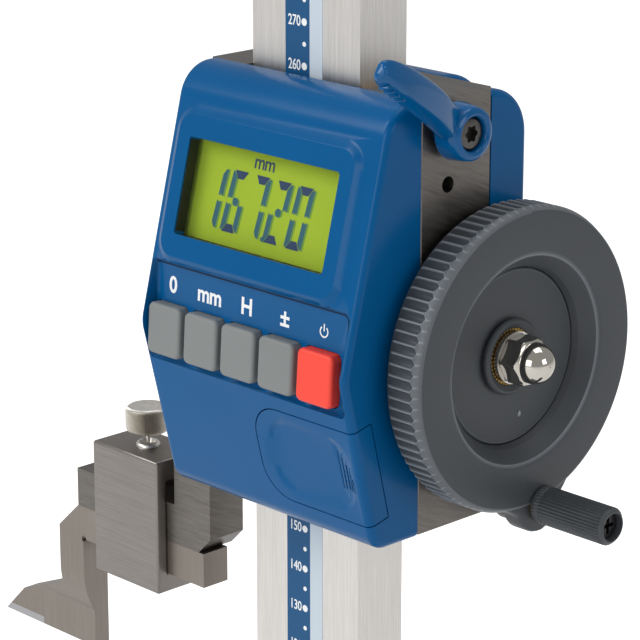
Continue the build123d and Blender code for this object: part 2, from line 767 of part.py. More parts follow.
with BuildPart() as key_board:
    plate(panel_plane(4.4, key_board_depth + board_thickness), 61.0, 23.4, board_thickness)
    for x in button_x:
        plate(panel_plane(x, key_board_depth), 6.0, 6.0, 1.4)
        with BuildSketch(panel_plane(x, key_board_depth - 1.4)):
            Circle(1.7)
        extrude(amount=key_board_depth - 1.4 - switch_top)
    for x in key_studs:
        for y in (-9.6, 9.6):
            with BuildSketch(panel_plane(x, key_board_depth + 3)):
                with Locations((0, y)):
                    Circle(0.95)
            extrude(amount=6, mode=Mode.SUBTRACT)
save(key_board.part, "key_board")

board_back = -block_front - gap
with BuildPart() as main_board:
    box(-block_left + wall + gap, block_right - wall - gap, board_back - board_thickness, board_back,
        housing_bottom + wall + gap, block_top - wall - 2.5)
    for x, z in housing_screw_places:
        rod_y(board_back - 4, board_back + 2, x, z, post_radius + gap, Mode.SUBTRACT)
    # a few packages on the front
    box(-10, -1, board_back - board_thickness - 1.4, board_back - board_thickness, block_bottom + 14,
        block_bottom + 23)
    box(-20, -15, board_back - board_thickness - 2.2, board_back - board_thickness, block_bottom + 30,
        block_bottom + 41)
    # strip of conductive rubber up to the display
    rod_y(board_back - 3, board_back - board_thickness, 20, block_bottom + 40, 2.4)
save(main_board.part, "main_board")

with BuildPart() as reading_head:
    box(-keeper_edge + gap, keeper_edge - gap, board_back + 0.05, column_front - 0.3,
        block_bottom + block_height * 0.3, block_bottom + block_height * 0.7)
save(reading_head.part, "reading_head")

cell_x = 18.6
cell_z = block_bottom + 18.2
cell_back = board_back - board_thickness - 0.9
with BuildPart() as battery:
    rod_y(cell_back - 3.2, cell_back, cell_x, cell_z, 10.0)
    fillet(battery.edges(), 0.5)
save(battery.part, "battery")

with BuildPart() as battery_contacts:
    rod_y(cell_back + 0.2, cell_back + 0.6, cell_x, cell_z, 4.0)
    box(cell_x - 4, cell_x + 4, cell_back + 0.2, cell_back + 0.6, cell_z, cell_z + 10.8)
    box(cell_x - 4, cell_x + 4, cell_back - 3.8, cell_back + 0.6, cell_z + 10.4, cell_z + 10.8)
    box(cell_x - 4, cell_x + 4, cell_back - 3.8, cell_back - 3.4, cell_z + 4, cell_z + 10.8)
save(battery_contacts.part, "battery_contacts")

# ---------------------------------------------------------------- shaft, handwheel and knob
wheel_front = wheel_back + rim_width
shaft_line = Axis((0, shaft_y, shaft_z), (1, 0, 0))
shaft_side = Plane(origin=(0, shaft_y, shaft_z), x_dir=(1, 0, 0), z_dir=(0, -1, 0))


def wheel_plane(x):
    """Plane across the shaft at a given X, its own X pointing to the back."""
    return Plane(origin=(x, shaft_y, shaft_z), x_dir=(0, 1, 0), z_dir=(1, 0, 0))


def involute(angle):
    return tan(angle) - angle


pinion_base = pitch_radius * cos(radians(20))
pinion_root = pitch_radius - 0.98
pinion_tip = pitch_radius + 0.72


def half_tooth(radius):
    """Half the tooth's angle at a radius."""
    if radius <= pinion_base:
        working = 0.0
    else:
        working = involute(atan(sqrt((radius / pinion_base) ** 2 - 1)))
    return tooth_half / pitch_radius + involute(radians(20)) - working


flank_radii = (pinion_root, pinion_base, 6.25, pitch_radius, 6.8, pinion_tip)
pinion_points = []
for tooth in range(pinion_teeth):
    middle = pi + (tooth + 0.5) * 2 * pi / pinion_teeth
    for r in flank_radii:
        pinion_points.append((r * cos(middle - half_tooth(r)), r * sin(middle - half_tooth(r))))
    for r in reversed(flank_radii):
        pinion_points.append((r * cos(middle + half_tooth(r)), r * sin(middle + half_tooth(r))))

hub_front = wheel_front - disc_recess + hub_rise
washer_front = hub_front + 1.3
nut_height = 10.2
pinion_half = rack_width / 2 - 0.5
with BuildPart() as pinion_shaft:
    rod_x(bush_left[0] - 0.3, wheel_back + 0.4, shaft_y, shaft_z, shaft_radius)
    rod_x(wheel_back + 0.4, washer_front + 7.5, shaft_y, shaft_z, stud_radius)
    with BuildSketch(wheel_plane(-pinion_half)):
        with BuildLine():
            Polyline(*pinion_points, close=True)
        make_face()
    extrude(amount=2 * pinion_half)
save(pinion_shaft.part, "pinion_shaft")

with BuildPart() as wheel_insert:
    rod_x(wheel_back + 0.6, hub_front - 0.1, shaft_y, shaft_z, insert_radius)
    rod_x(wheel_back, hub_front + 1, shaft_y, shaft_z, stud_radius + 0.02, Mode.SUBTRACT)
save(wheel_insert.part, "wheel_insert")

crank_y = shaft_y + crank_radius * cos(radians(crank_angle))
crank_z = shaft_z + crank_radius * sin(radians(crank_angle))
knob_bolt = 2.2
knob_thread = 1.6

with BuildPart() as handwheel:
    with BuildSketch(wheel_plane(wheel_back)):
        with BuildLine():
            ridge_points = []
            valley = wheel_radius - knurl_depth
            for k in range(knurl_teeth):
                for part, r in ((0.0, wheel_radius), (0.5, wheel_radius), (0.66, valley), (0.84, valley)):
                    a = 2 * pi * (k + part) / knurl_teeth
                    ridge_points.append((r * cos(a), r * sin(a)))
            Polyline(*ridge_points, close=True)
        make_face()
    extrude(amount=rim_width)
    # bevels on both edges of the rim
    with BuildSketch(shaft_side):
        with BuildLine():
            Polyline((wheel_back, 0), (wheel_back, wheel_radius - rim_bevel),
                     (wheel_back + rim_bevel, wheel_radius + 0.01), (wheel_front - rim_bevel, wheel_radius + 0.01),
                     (wheel_front, wheel_radius - rim_bevel), (wheel_front, 0), close=True)
        make_face()
    revolve(axis=shaft_line, mode=Mode.INTERSECT)
    # dish on the front: lip, cone, groove, flat disc and hub
    disc_x = wheel_front - disc_recess
    with BuildSketch(shaft_side):
        with BuildLine():
            Polyline((wheel_front + 1, 0), (wheel_front + 1, lip_radius + 1.2), (wheel_front, lip_radius + 1.2),
                     (wheel_front - 0.5, lip_radius), (disc_x + 1.4, lip_radius - 2.2), (disc_x + 0.2, 21.0),
                     (disc_x - 1.4, 20.9), (disc_x - 1.4, disc_radius), (disc_x, disc_radius),
                     (disc_x, hub_radius), (hub_front, hub_radius), (hub_front, 0), close=True)
        make_face()
    revolve(axis=shaft_line, mode=Mode.SUBTRACT)
    # two annular hollows on the back
    with BuildSketch(shaft_side):
        with BuildLine():
            Polyline((wheel_back - 1, 9.0), (wheel_back + 1.4, 9.0), (wheel_back + 1.4, 22.0),
                     (wheel_back - 1, 22.0), close=True)
        make_face()
    revolve(axis=shaft_line, mode=Mode.SUBTRACT)
    # ear and boss for the crank knob
    inner_r = (lip_radius + wheel_radius) / 2 + 0.6
    ear_place = (crank_y - shaft_y, crank_z - shaft_z)
    ear_root = (ear_place[0] * inner_r / crank_radius, ear_place[1] * inner_r / crank_radius)
    with BuildSketch(wheel_plane(wheel_front - ear_thickness)):
        with Locations(ear_place):
            Circle(ear_radius)
        with Locations(ear_root):
            Circle(inner_r - lip_radius - 1.4)
        make_hull()
    extrude(amount=ear_thickness)
    rod_x(wheel_back, wheel_front - 1, crank_y, crank_z, crank_boss_radius)
    rod_x(wheel_back - 1, wheel_front + 1, shaft_y, shaft_z, insert_radius + 0.02, Mode.SUBTRACT)
    rod_x(wheel_back + 1.0, wheel_front + 1, crank_y, crank_z, knob_thread + 0.02, Mode.SUBTRACT)
save(handwheel.part, "handwheel")

with BuildPart() as wheel_washer:
    rod_x(hub_front + 0.05, washer_front - 0.05, shaft_y, shaft_z, 6.0)
    rod_x(hub_front - 1, washer_front + 1, shaft_y, shaft_z, stud_radius + 0.2, Mode.SUBTRACT)
save(wheel_washer.part, "wheel_washer")

with BuildPart() as acorn_nut:
    with BuildSketch(wheel_plane(washer_front)):
        RegularPolygon(5.0, 6, major_radius=False)
    extrude(amount=5.0)
    with BuildSketch(shaft_side):
        with BuildLine():
            Polyline((washer_front, 0), (washer_front, 5.1), (washer_front + 0.5, 5.85), (washer_front + 4.2, 5.85),
                     (washer_front + 5.0, 4.75), (washer_front + 5.0, 0), close=True)
        make_face()
    revolve(axis=shaft_line, mode=Mode.INTERSECT)
    with BuildSketch(shaft_side):
        with BuildLine():
            Line((washer_front + 4, 0), (washer_front + 4, 4.7))
            Line((washer_front + 4, 4.7), (washer_front + nut_height - 4.7, 4.7))
            RadiusArc((washer_front + nut_height - 4.7, 4.7), (washer_front + nut_height, 0), 4.7)
            Line((washer_front + nut_height, 0), (washer_front + 4, 0))
        make_face()
    revolve(axis=shaft_line)
    rod_x(washer_front - 1, washer_front + 8.0, shaft_y, shaft_z, stud_radius + 0.02, Mode.SUBTRACT)
save(acorn_nut.part, "acorn_nut")

knob_start = wheel_front + 0.75
knob_end = knob_start + knob_length - 0.3
with BuildPart() as knob_washer:
    rod_x(wheel_front + 0.05, wheel_front + 0.65, crank_y, crank_z, 3.6)
    rod_x(wheel_front - 1, wheel_front + 1, crank_y, crank_z, knob_thread + 0.1, Mode.SUBTRACT)
save(knob_washer.part, "knob_washer")

knob_line = Axis((0, crank_y, crank_z), (1, 0, 0))
knob_side = Plane(origin=(0, crank_y, crank_z), x_dir=(1, 0, 0), z_dir=(0, -1, 0))
head_seat = knob_end - 4.0
with BuildPart() as knob_screw:
    rod_x(wheel_back + 1.3, wheel_front + 0.7, crank_y, crank_z, knob_thread)
    rod_x(wheel_front + 0.7, head_seat + 0.1, crank_y, crank_z, knob_bolt)
    rod_x(head_seat + 0.1, knob_end - 1.5, crank_y, crank_z, 3.0)
    with BuildSketch(Plane(origin=(knob_end - 1.5, crank_y, crank_z), x_dir=(0, 1, 0), z_dir=(1, 0, 0))):
        Rectangle(3.8, 0.9)
        Rectangle(0.9, 3.8)
    extrude(amount=-1.2, mode=Mode.SUBTRACT)
save(knob_screw.part, "knob_screw")

with BuildPart() as crank_knob:
    with BuildSketch(knob_side):
        with BuildLine():
            Polyline((knob_start, 0), (knob_start, knob_radius - 0.3), (knob_start + 0.3, knob_radius),
                     (knob_end - 0.9, knob_radius), (knob_end, knob_radius - 0.9), (knob_end, 0), close=True)
        make_face()
    revolve(axis=knob_line)
    # serrations beyond the smooth collar
    for k in range(knob_serrations):
        a = 2 * pi * k / knob_serrations
        with BuildSketch(Plane(origin=(knob_start + 2.2, crank_y, crank_z), x_dir=(0, 1, 0), z_dir=(1, 0, 0))):
            with Locations(Location((knob_radius * cos(a), knob_radius * sin(a), 0), degrees(a) + 45)):
                Rectangle(0.42, 0.42)
        extrude(amount=knob_length, mode=Mode.SUBTRACT)
    rod_x(knob_start - 1, knob_end + 1, crank_y, crank_z, knob_bolt + fit, Mode.SUBTRACT)
    rod_x(head_seat, knob_end + 1, crank_y, crank_z, 3.15, Mode.SUBTRACT)
save(crank_knob.part, "crank_knob")

# ---------------------------------------------------------------- clamp lever
lever_back = block_right + lever_standoff
lever_top = lever_back + lever_boss_length
tip_y = lever_reach * cos(radians(180 - lever_angle))
lever_place = Plane(origin=(lever_back, lever_y, lever_z), x_dir=(0, -cos(radians(180 - lever_angle)),
                                                                 sin(radians(180 - lever_angle))), z_dir=(1, 0, 0))
lever_across = Plane(origin=lever_place.origin, x_dir=lever_place.x_dir,
                     z_dir=lever_place.z_dir.cross(lever_place.x_dir))
with BuildPart() as clamp_lever:
    with BuildSketch(lever_place):
        Circle(lever_boss_radius)
        with BuildLine():
            Spline((1.5, -5.0), (8.0, -4.7), (lever_reach * 0.5, -5.0), (lever_reach * 0.79, -4.6),
                   (lever_reach * 0.95, -3.8), (lever_reach + 2.4, -2.0), (lever_reach + 3.4, 0),
                   (lever_reach + 2.0, 2.0), (lever_reach * 0.92, 2.9), (lever_reach * 0.66, 3.1),
                   (lever_reach * 0.42, 3.1), (7.0, 3.5), (1.5, 5.0))
            Line((1.5, 5.0), (1.5, -5.0))
        make_face()
    extrude(amount=20)
    # side view: low at the boss, rising outward to the tip
    with BuildSketch(lever_across):
        with BuildLine():
            Polyline((-7, 0), (7.5, 0), (14, -1.6), (24, -4.0), (40, -6.2), (40, -11.2), (24, -9.6), (14, -7.4),
                     (7.5, -lever_boss_length), (-7, -lever_boss_length), close=True)
        make_face()
    extrude(amount=12, both=True, mode=Mode.INTERSECT)
    rod_x(block_right + 0.3, lever_back + 1, lever_y, lever_z, 4.2)
    rod_x(block_right - 1, lever_top + 4, lever_y, lever_z, 2.5 + 0.03, Mode.SUBTRACT)
    rod_x(lever_back + 2.6, lever_top + 8, lever_y, lever_z, 3.55, Mode.SUBTRACT)
save(clamp_lever.part, "clamp_lever")

with BuildPart() as lever_screw:
    rod_x(gib_wall + 3.3, lever_back + 2.7, lever_y, lever_z, 2.5)
    rod_x(lever_back + 2.65, lever_top - 0.6, lever_y, lever_z, 3.5)
    with BuildSketch(Plane(origin=(lever_top - 0.6, lever_y, lever_z), x_dir=(0, 1, 0), z_dir=(1, 0, 0))):
        Rectangle(4.2, 1.0)
        Rectangle(1.0, 4.2)
    extrude(amount=-1.4, mode=Mode.SUBTRACT)
save(lever_screw.part, "lever_screw")

# ---------------------------------------------------------------- scriber and its clamp
clamp_bottom = reading + clamp_above_face
clamp_top = clamp_bottom + clamp_height
scriber_top = jaw_bottom - fit
shank_bottom = scriber_top - shank_height
window_floor = shank_bottom - fit
window_roof = clamp_top - clamp_roof
clamp_front = jaw_front - fit - clamp_wall
clamp_back = jaw_back + fit + clamp_back_wall
thumb_x = -(clamp_left + clamp_right) / 2
thumb_y = (clamp_front + clamp_back) / 2
with BuildPart() as scriber_clamp:
    box(-clamp_left, -clamp_right, clamp_front, clamp_back, clamp_bottom, clamp_top)
    chamfer(scriber_clamp.edges(), 0.5)
    box(-clamp_left - 1, -clamp_right + 1, jaw_front - fit, jaw_back + fit, window_floor, window_roof,
        Mode.SUBTRACT)
    rod_z(window_roof - 1, clamp_top + 1, thumb_x, thumb_y, 2.15 + fit, Mode.SUBTRACT)
save(scriber_clamp.part, "scriber_clamp")

thumb_bottom = clamp_top + thumb_stand
with BuildPart() as thumb_screw:
    rod_z(jaw_bottom + arm_height + 0.05, thumb_bottom + 1, thumb_x, thumb_y, 2.15)
    rod_z(thumb_bottom, thumb_bottom + thumb_height, thumb_x, thumb_y, thumb_radius)
    fillet(thumb_screw.edges().group_by(Axis.Z)[-1], 2.0)
    chamfer(thumb_screw.edges().filter_by(GeomType.CIRCLE).sort_by_distance((thumb_x, thumb_y, thumb_bottom))[-1:],
            0.01)
save(thumb_screw.part, "thumb_screw")

relief_radius = 22.0
relief_cut = 3.2
relief_start = reading + 21.5
scriber_front = jaw_front
scriber_back = jaw_front + scriber_thickness
foot_top = reading + foot_rise
with BuildPart() as scriber:
    with BuildSketch(Plane(origin=(0, scriber_back, 0), x_dir=(1, 0, 0), z_dir=(0, -1, 0))):
        with BuildLine():
            Polyline((-shank_end, shank_bottom), (-shank_end, scriber_top), (-arm_end, scriber_top),
                     (-leg_outer, scriber_top - 7.4), (-leg_outer, foot_top),
                     (-tip_reach + nose_rise, reading + nose_rise), (-tip_reach, reading),
                     (-leg_inner, reading), (-leg_inner, shank_bottom), close=True)
        make_face()
        with Locations((-leg_inner + 0.4, shank_bottom)):
            Circle(0.9, mode=Mode.SUBTRACT)
    extrude(amount=scriber_thickness)
    # the front is ground back in a curve down to the thin foot
    with BuildSketch(Plane.YZ.offset(-tip_reach - 1)):
        with BuildLine():
            deep = scriber_front + relief_cut
            drop = sqrt(relief_radius ** 2 - (relief_radius - relief_cut) ** 2)
            RadiusArc((scriber_front, relief_start), (deep, relief_start - drop), -relief_radius)
            Polyline((deep, relief_start - drop), (deep, reading - 1), (scriber_front - 2, reading - 1),
                     (scriber_front - 2, relief_start), (scriber_front, relief_start))
        make_face()
    extrude(amount=tip_reach + 1 - leg_inner + 2, mode=Mode.SUBTRACT)
    # seat for the hard tip
    box(-tip_reach - 1, -tip_reach + 16, scriber_front - 1, scriber_back + 1, reading - 1, reading + 2.0,
        Mode.SUBTRACT)
save(scriber.part, "scriber")

with BuildPart() as carbide_tip:
    with BuildSketch(Plane(origin=(0, scriber_back, 0), x_dir=(1, 0, 0), z_dir=(0, -1, 0))):
        with BuildLine():
            Polyline((-tip_reach, reading), (-tip_reach + 15.97, reading), (-tip_reach + 15.97, reading + 1.97),
                     (-tip_reach + 1.97, reading + 1.97), close=True)
        make_face()
    extrude(amount=scriber_back - deep)
save(carbide_tip.part, "carbide_tip")
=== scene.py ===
import json
from math import atan2, cos, hypot, pi, radians, sin, tan

import bmesh
import bpy
from mathutils import Matrix, Vector


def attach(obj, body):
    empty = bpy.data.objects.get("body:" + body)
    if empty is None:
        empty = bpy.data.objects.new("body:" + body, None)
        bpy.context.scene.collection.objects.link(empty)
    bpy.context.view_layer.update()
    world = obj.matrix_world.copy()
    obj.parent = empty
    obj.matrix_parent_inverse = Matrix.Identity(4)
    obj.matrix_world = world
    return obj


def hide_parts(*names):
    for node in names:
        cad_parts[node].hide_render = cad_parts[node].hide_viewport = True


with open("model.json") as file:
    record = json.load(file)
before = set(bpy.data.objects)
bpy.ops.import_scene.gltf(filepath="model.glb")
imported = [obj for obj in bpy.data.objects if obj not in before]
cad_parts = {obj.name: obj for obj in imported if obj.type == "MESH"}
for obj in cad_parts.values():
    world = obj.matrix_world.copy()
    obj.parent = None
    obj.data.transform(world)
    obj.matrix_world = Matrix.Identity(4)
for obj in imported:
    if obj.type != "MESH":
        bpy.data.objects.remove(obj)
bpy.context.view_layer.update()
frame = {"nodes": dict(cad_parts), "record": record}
NODES = frame["nodes"]

bl_info = {
    "name": "Height gauge",
    "version": (1, 0, 0),
    "blender": (4, 5, 0),
    "location": "View3D > Sidebar > Height gauge",
    "description": "Finishes, printed marks, display, handwheel and stage of a digital height gauge",
    "category": "Object",
}

MM = 0.001
# capital height of the default font as a share of its size
CAPITAL_SHARE = 0.70
# thickness of printed marks, in millimetres
INK = 0.03

# ---------------------------------------------------------------- sizes and colours
class GaugeScale(bpy.types.PropertyGroup):
    """Printed scale on the column."""
    step: bpy.props.FloatProperty(name="Step", description="Distance between numbered marks",
                                  default=0.010, unit="LENGTH")
    zero: bpy.props.FloatProperty(name="Zero", description="Height of the zero mark above the plate",
                                  default=0.0722, unit="LENGTH")
    last: bpy.props.IntProperty(name="Last", description="Highest number on the scale", default=390)
    figure: bpy.props.FloatProperty(name="Figure height", description="Height of the printed figures",
                                    default=0.0024, unit="LENGTH")


class GaugeDisplay(bpy.types.PropertyGroup):
    """Segment display."""
    digit_height: bpy.props.FloatProperty(name="Digit height", description="Height of one figure",
                                          default=0.0142, unit="LENGTH")
    digit_pitch: bpy.props.FloatProperty(name="Digit pitch", description="Distance between figures",
                                         default=0.0070, unit="LENGTH")
    slant: bpy.props.FloatProperty(name="Slant", description="Lean of the figures", default=0.11)


class GaugeWheel(bpy.types.PropertyGroup):
    """Handwheel and its fittings."""
    ridges: bpy.props.IntProperty(name="Ridges", description="Number of grip ridges on the rim", default=88)
    groove: bpy.props.FloatProperty(name="Groove depth", description="Depth of the grooves between ridges",
                                    default=0.00085, unit="LENGTH")
    splines: bpy.props.IntProperty(name="Splines", description="Number of teeth on the brass insert",
                                   default=42)


class GaugeColours(bpy.types.PropertyGroup):
    """Colours of the finishes."""
    casing: bpy.props.FloatVectorProperty(name="Casing", description="Moulded casing and lever",
                                          subtype="COLOR", size=3, default=(0.0, 0.090, 0.262))
    wheel: bpy.props.FloatVectorProperty(name="Wheel", description="Handwheel and crank knob",
                                         subtype="COLOR", size=3, default=(0.050, 0.056, 0.063))
    key: bpy.props.FloatVectorProperty(name="Key", description="Grey keys", subtype="COLOR", size=3,
                                       default=(0.205, 0.218, 0.216))
    power: bpy.props.FloatVectorProperty(name="Power key", description="Red power key", subtype="COLOR",
                                         size=3, default=(0.93, 0.055, 0.028))
    display: bpy.props.FloatVectorProperty(name="Display", description="Reflector behind the figures",
                                           subtype="COLOR", size=3, default=(0.345, 0.49, 0.004))
    strip: bpy.props.FloatVectorProperty(name="Scale strip", description="Printed band of the scale",
                                         subtype="COLOR", size=3, default=(0.010, 0.085, 0.215))


# ---------------------------------------------------------------- finishes
class Wire:
    """A shader output that takes part in plain arithmetic."""

    def __init__(self, finish, socket):
        self.finish = finish
        self.socket = socket

    def __add__(self, other):
        return self.finish.node("ShaderNodeMath", {"operation": "ADD"}, {0: self, 1: other})

    def __mul__(self, other):
        return self.finish.node("ShaderNodeMath", {"operation": "MULTIPLY"}, {0: self, 1: other})


class Finish:
    """One material: a principled shader and the nodes that vary it."""

    def __init__(self, name, colour, roughness, metallic=0.0, **fixed):
        self.material = bpy.data.materials.new(name)
        self.material.use_nodes = True
        self.tree = self.material.node_tree
        self.shader = self.tree.nodes["Principled BSDF"]
        self.shader.inputs["Base Color"].default_value = (*colour, 1.0)
        self.shader.inputs["Roughness"].default_value = roughness
        self.shader.inputs["Metallic"].default_value = metallic
        for key, value in fixed.items():
            self.shader.inputs[key.replace("_", " ")].default_value = value
        self.place = self.node("ShaderNodeTexCoord", {}, {}, "Object")

    def node(self, kind, settings, sockets, output=0):
        made = self.tree.nodes.new(kind)
        for key, value in settings.items():
            if key == "stops":
                ramp = made.color_ramp
                for index, (place, shade) in enumerate(value):
                    stop = ramp.elements[index] if index < 2 else ramp.elements.new(place)
                    stop.position = place
                    stop.color = (*shade, 1.0) if len(shade) == 3 else shade
            else:
                setattr(made, key, value)
        for key, value in sockets.items():
            if isinstance(value, Wire):
                self.tree.links.new(value.socket, made.inputs[key])
            else:
                made.inputs[key].default_value = value
        return Wire(self, made.outputs[output])

    def link(self, name, wire):
        self.tree.links.new(wire.socket, self.shader.inputs[name])

    def mapped(self, scale, turn):
        """Object coordinates, turned first and stretched after."""
        turned_place = self.node("ShaderNodeMapping", {"vector_type": "POINT"},
                                 {"Vector": self.place, "Rotation": turn})
        return self.node("ShaderNodeMapping", {"vector_type": "POINT"},
                         {"Vector": turned_place, "Scale": scale})

    def noise(self, where, scale, detail=4.0, rough=0.55):
        return self.node("ShaderNodeTexNoise", {"noise_dimensions": "3D"},
                         {"Vector": where, "Scale": scale, "Detail": detail, "Roughness": rough}, "Fac")

    def ramp(self, value, *stops):
        return self.node("ShaderNodeValToRGB", {"stops": stops}, {"Fac": value}, "Color")

    def blend(self, mask, low, high):
        return self.node("ShaderNodeMix", {"data_type": "RGBA"}, {0: mask, 6: low, 7: high}, 2)

    def bump(self, height, strength, distance):
        return self.node("ShaderNodeBump", {},
                         {"Height": height, "Strength": strength, "Distance": distance}, "Normal")


def shade(colour, factor):
    """A colour made lighter or darker, with full alpha."""
    return (*(min(1.0, c * factor) for c in colour), 1.0)


def moulded(name, colour, roughness, grain, specular=0.5):
    """Injection-moulded plastic with a fine spark-eroded grain."""
    f = Finish(name, colour, roughness, Specular_IOR_Level=specular)
    broad = f.noise(f.place, 38.0, 3.0)
    fine = f.noise(f.place, 5200.0, 2.0)
    f.link("Base Color", f.blend(broad, shade(colour, 0.93), shade(colour, 1.07)))
    f.link("Roughness", broad * 0.08 + (fine * 0.05 + (roughness - 0.06)))
    f.link("Normal", f.bump(fine + broad * 0.4, grain, 0.00006))
    return f.material


def ground(name, colour, roughness, stretch, turn=(0, 0, 0), depth=0.25, contrast=0.22):
    """Ground metal: long fine scratches along one direction, with slow cloudy changes."""
    f = Finish(name, colour, roughness, 1.0)
    lines = f.noise(f.mapped(stretch, turn), 1.0, 3.0, 0.65)
    hair = f.noise(f.mapped(tuple(3.1 * s for s in stretch), turn), 1.0, 2.0, 0.7)
    cloud = f.noise(f.place, 45.0, 2.0)
    tone = f.ramp(lines * 0.65 + hair * 0.35, (0.25, shade(colour, 1 - contrast)[:3]),
                  (0.75, shade(colour, 1 + contrast)[:3]))
    f.link("Base Color", f.blend(cloud * 0.35, tone, shade(colour, 0.9)))
    f.link("Roughness", lines * 0.22 + (cloud * 0.1 + (roughness - 0.14)))
    f.link("Normal", f.bump(lines + hair, depth, 0.00003))
    return f.material


def worn_moulded(name, colour, pale, roughness):
    """Grey moulding whose ridges and rims are paler, by wear and by painted highlight."""
    f = Finish(name, colour, roughness, Specular_IOR_Level=0.4)
    broad = f.noise(f.place, 60.0, 3.0)
    speck = f.noise(f.place, 2600.0, 3.0, 0.7)
    fleck = f.ramp(speck, (0.60, (0.0, 0.0, 0.0)), (0.74, (0.5, 0.5, 0.5)))
    worn = f.node("ShaderNodeAttribute", {"attribute_type": "GEOMETRY", "attribute_name": "worn"}, {},
                  "Fac")
    body = f.blend(broad, shade(colour, 0.9), shade(colour, 1.1))
    dusty = f.blend(fleck * 0.35, body, shade(pale, 0.75))
    # marked ridges and rims turn pale and glossier: rubbed wear together with painted highlight
    f.link("Base Color", f.blend(worn * (speck * 0.7 + 0.45), dusty, shade(pale, 1.0)))
    f.link("Roughness", broad * 0.1 + (worn * -0.12 + (roughness - 0.02)))
    f.link("Normal", f.bump(speck + broad * 0.4, 0.12, 0.00006))
    return f.material


def blackened(name, colour, roughness):
    """Oiled black-oxide steel."""
    f = Finish(name, colour, roughness, 0.85)
    cloud = f.noise(f.place, 700.0, 4.0)
    f.link("Base Color", f.blend(cloud, shade(colour, 0.7), shade(colour, 1.5)))
    f.link("Roughness", cloud * 0.2 + (roughness - 0.1))
    f.link("Normal", f.bump(cloud, 0.12, 0.00004))
    return f.material


def plated(name, colour, roughness):
    """Bright plating over turned metal."""
    f = Finish(name, colour, roughness, 1.0)
    haze = f.noise(f.place, 260.0, 3.0)
    f.link("Base Color", f.blend(haze, shade(colour, 0.94), shade(colour, 1.04)))
    f.link("Roughness", haze * 0.06 + (roughness - 0.02))
    return f.material


def printed(name, colour, roughness):
    """Flat screen-printed ink."""
    f = Finish(name, colour, roughness, Specular_IOR_Level=0.2)
    speck = f.noise(f.place, 4000.0, 2.0)
    f.link("Base Color", f.blend(speck, shade(colour, 0.95), shade(colour, 1.03)))
    f.link("Roughness", speck * 0.1 + (roughness - 0.05))
    return f.material


def cast(name, colour):
    """Fine-machined, lightly oiled cast iron."""
    f = Finish(name, colour, 0.42, 0.75)
    grain = f.noise(f.place, 1400.0, 4.0)
    cloud = f.noise(f.place, 30.0, 3.0)
    f.link("Base Color", f.blend(grain, shade(colour, 0.85), shade(colour, 1.15)))
    f.link("Roughness", grain * 0.16 + (cloud * 0.12 + 0.28))
    f.link("Normal", f.bump(grain, 0.15, 0.00005))
    return f.material


def reflector(name, colour):
    """Back reflector of the display, a little cloudy."""
    f = Finish(name, colour, 0.55, Specular_IOR_Level=0.15)
    grain = f.noise(f.place, 2500.0, 2.0)
    cloud = f.noise(f.place, 55.0, 2.0)
    f.link("Base Color", f.blend(grain * 0.4 + cloud * 0.5, shade(colour, 0.88), shade(colour, 1.12)))
    f.link("Roughness", grain * 0.1 + 0.5)
    return f.material


def lens(name):
    """Clear moulded window."""
    f = Finish(name, (0.5, 0.56, 0.5), 0.04, Alpha=0.03, Specular_IOR_Level=0.1)
    haze = f.noise(f.place, 90.0, 2.0)
    f.link("Roughness", haze * 0.03 + 0.02)
    f.material.surface_render_method = "BLENDED"
    return f.material


def laminate(name, colour):
    """Circuit board with solder mask and faint tracks."""
    f = Finish(name, colour, 0.35)
    tracks = f.node("ShaderNodeTexBrick", {"offset": 0.5}, {"Vector": f.place, "Scale": 260.0,
                    "Color1": shade(colour, 1.3), "Color2": shade(colour, 1.0), "Mortar": shade(colour, 0.7)},
                    "Color")
    f.link("Base Color", tracks)
    f.link("Roughness", f.noise(f.place, 900.0) * 0.2 + 0.25)
    return f.material


FINISHES = {}


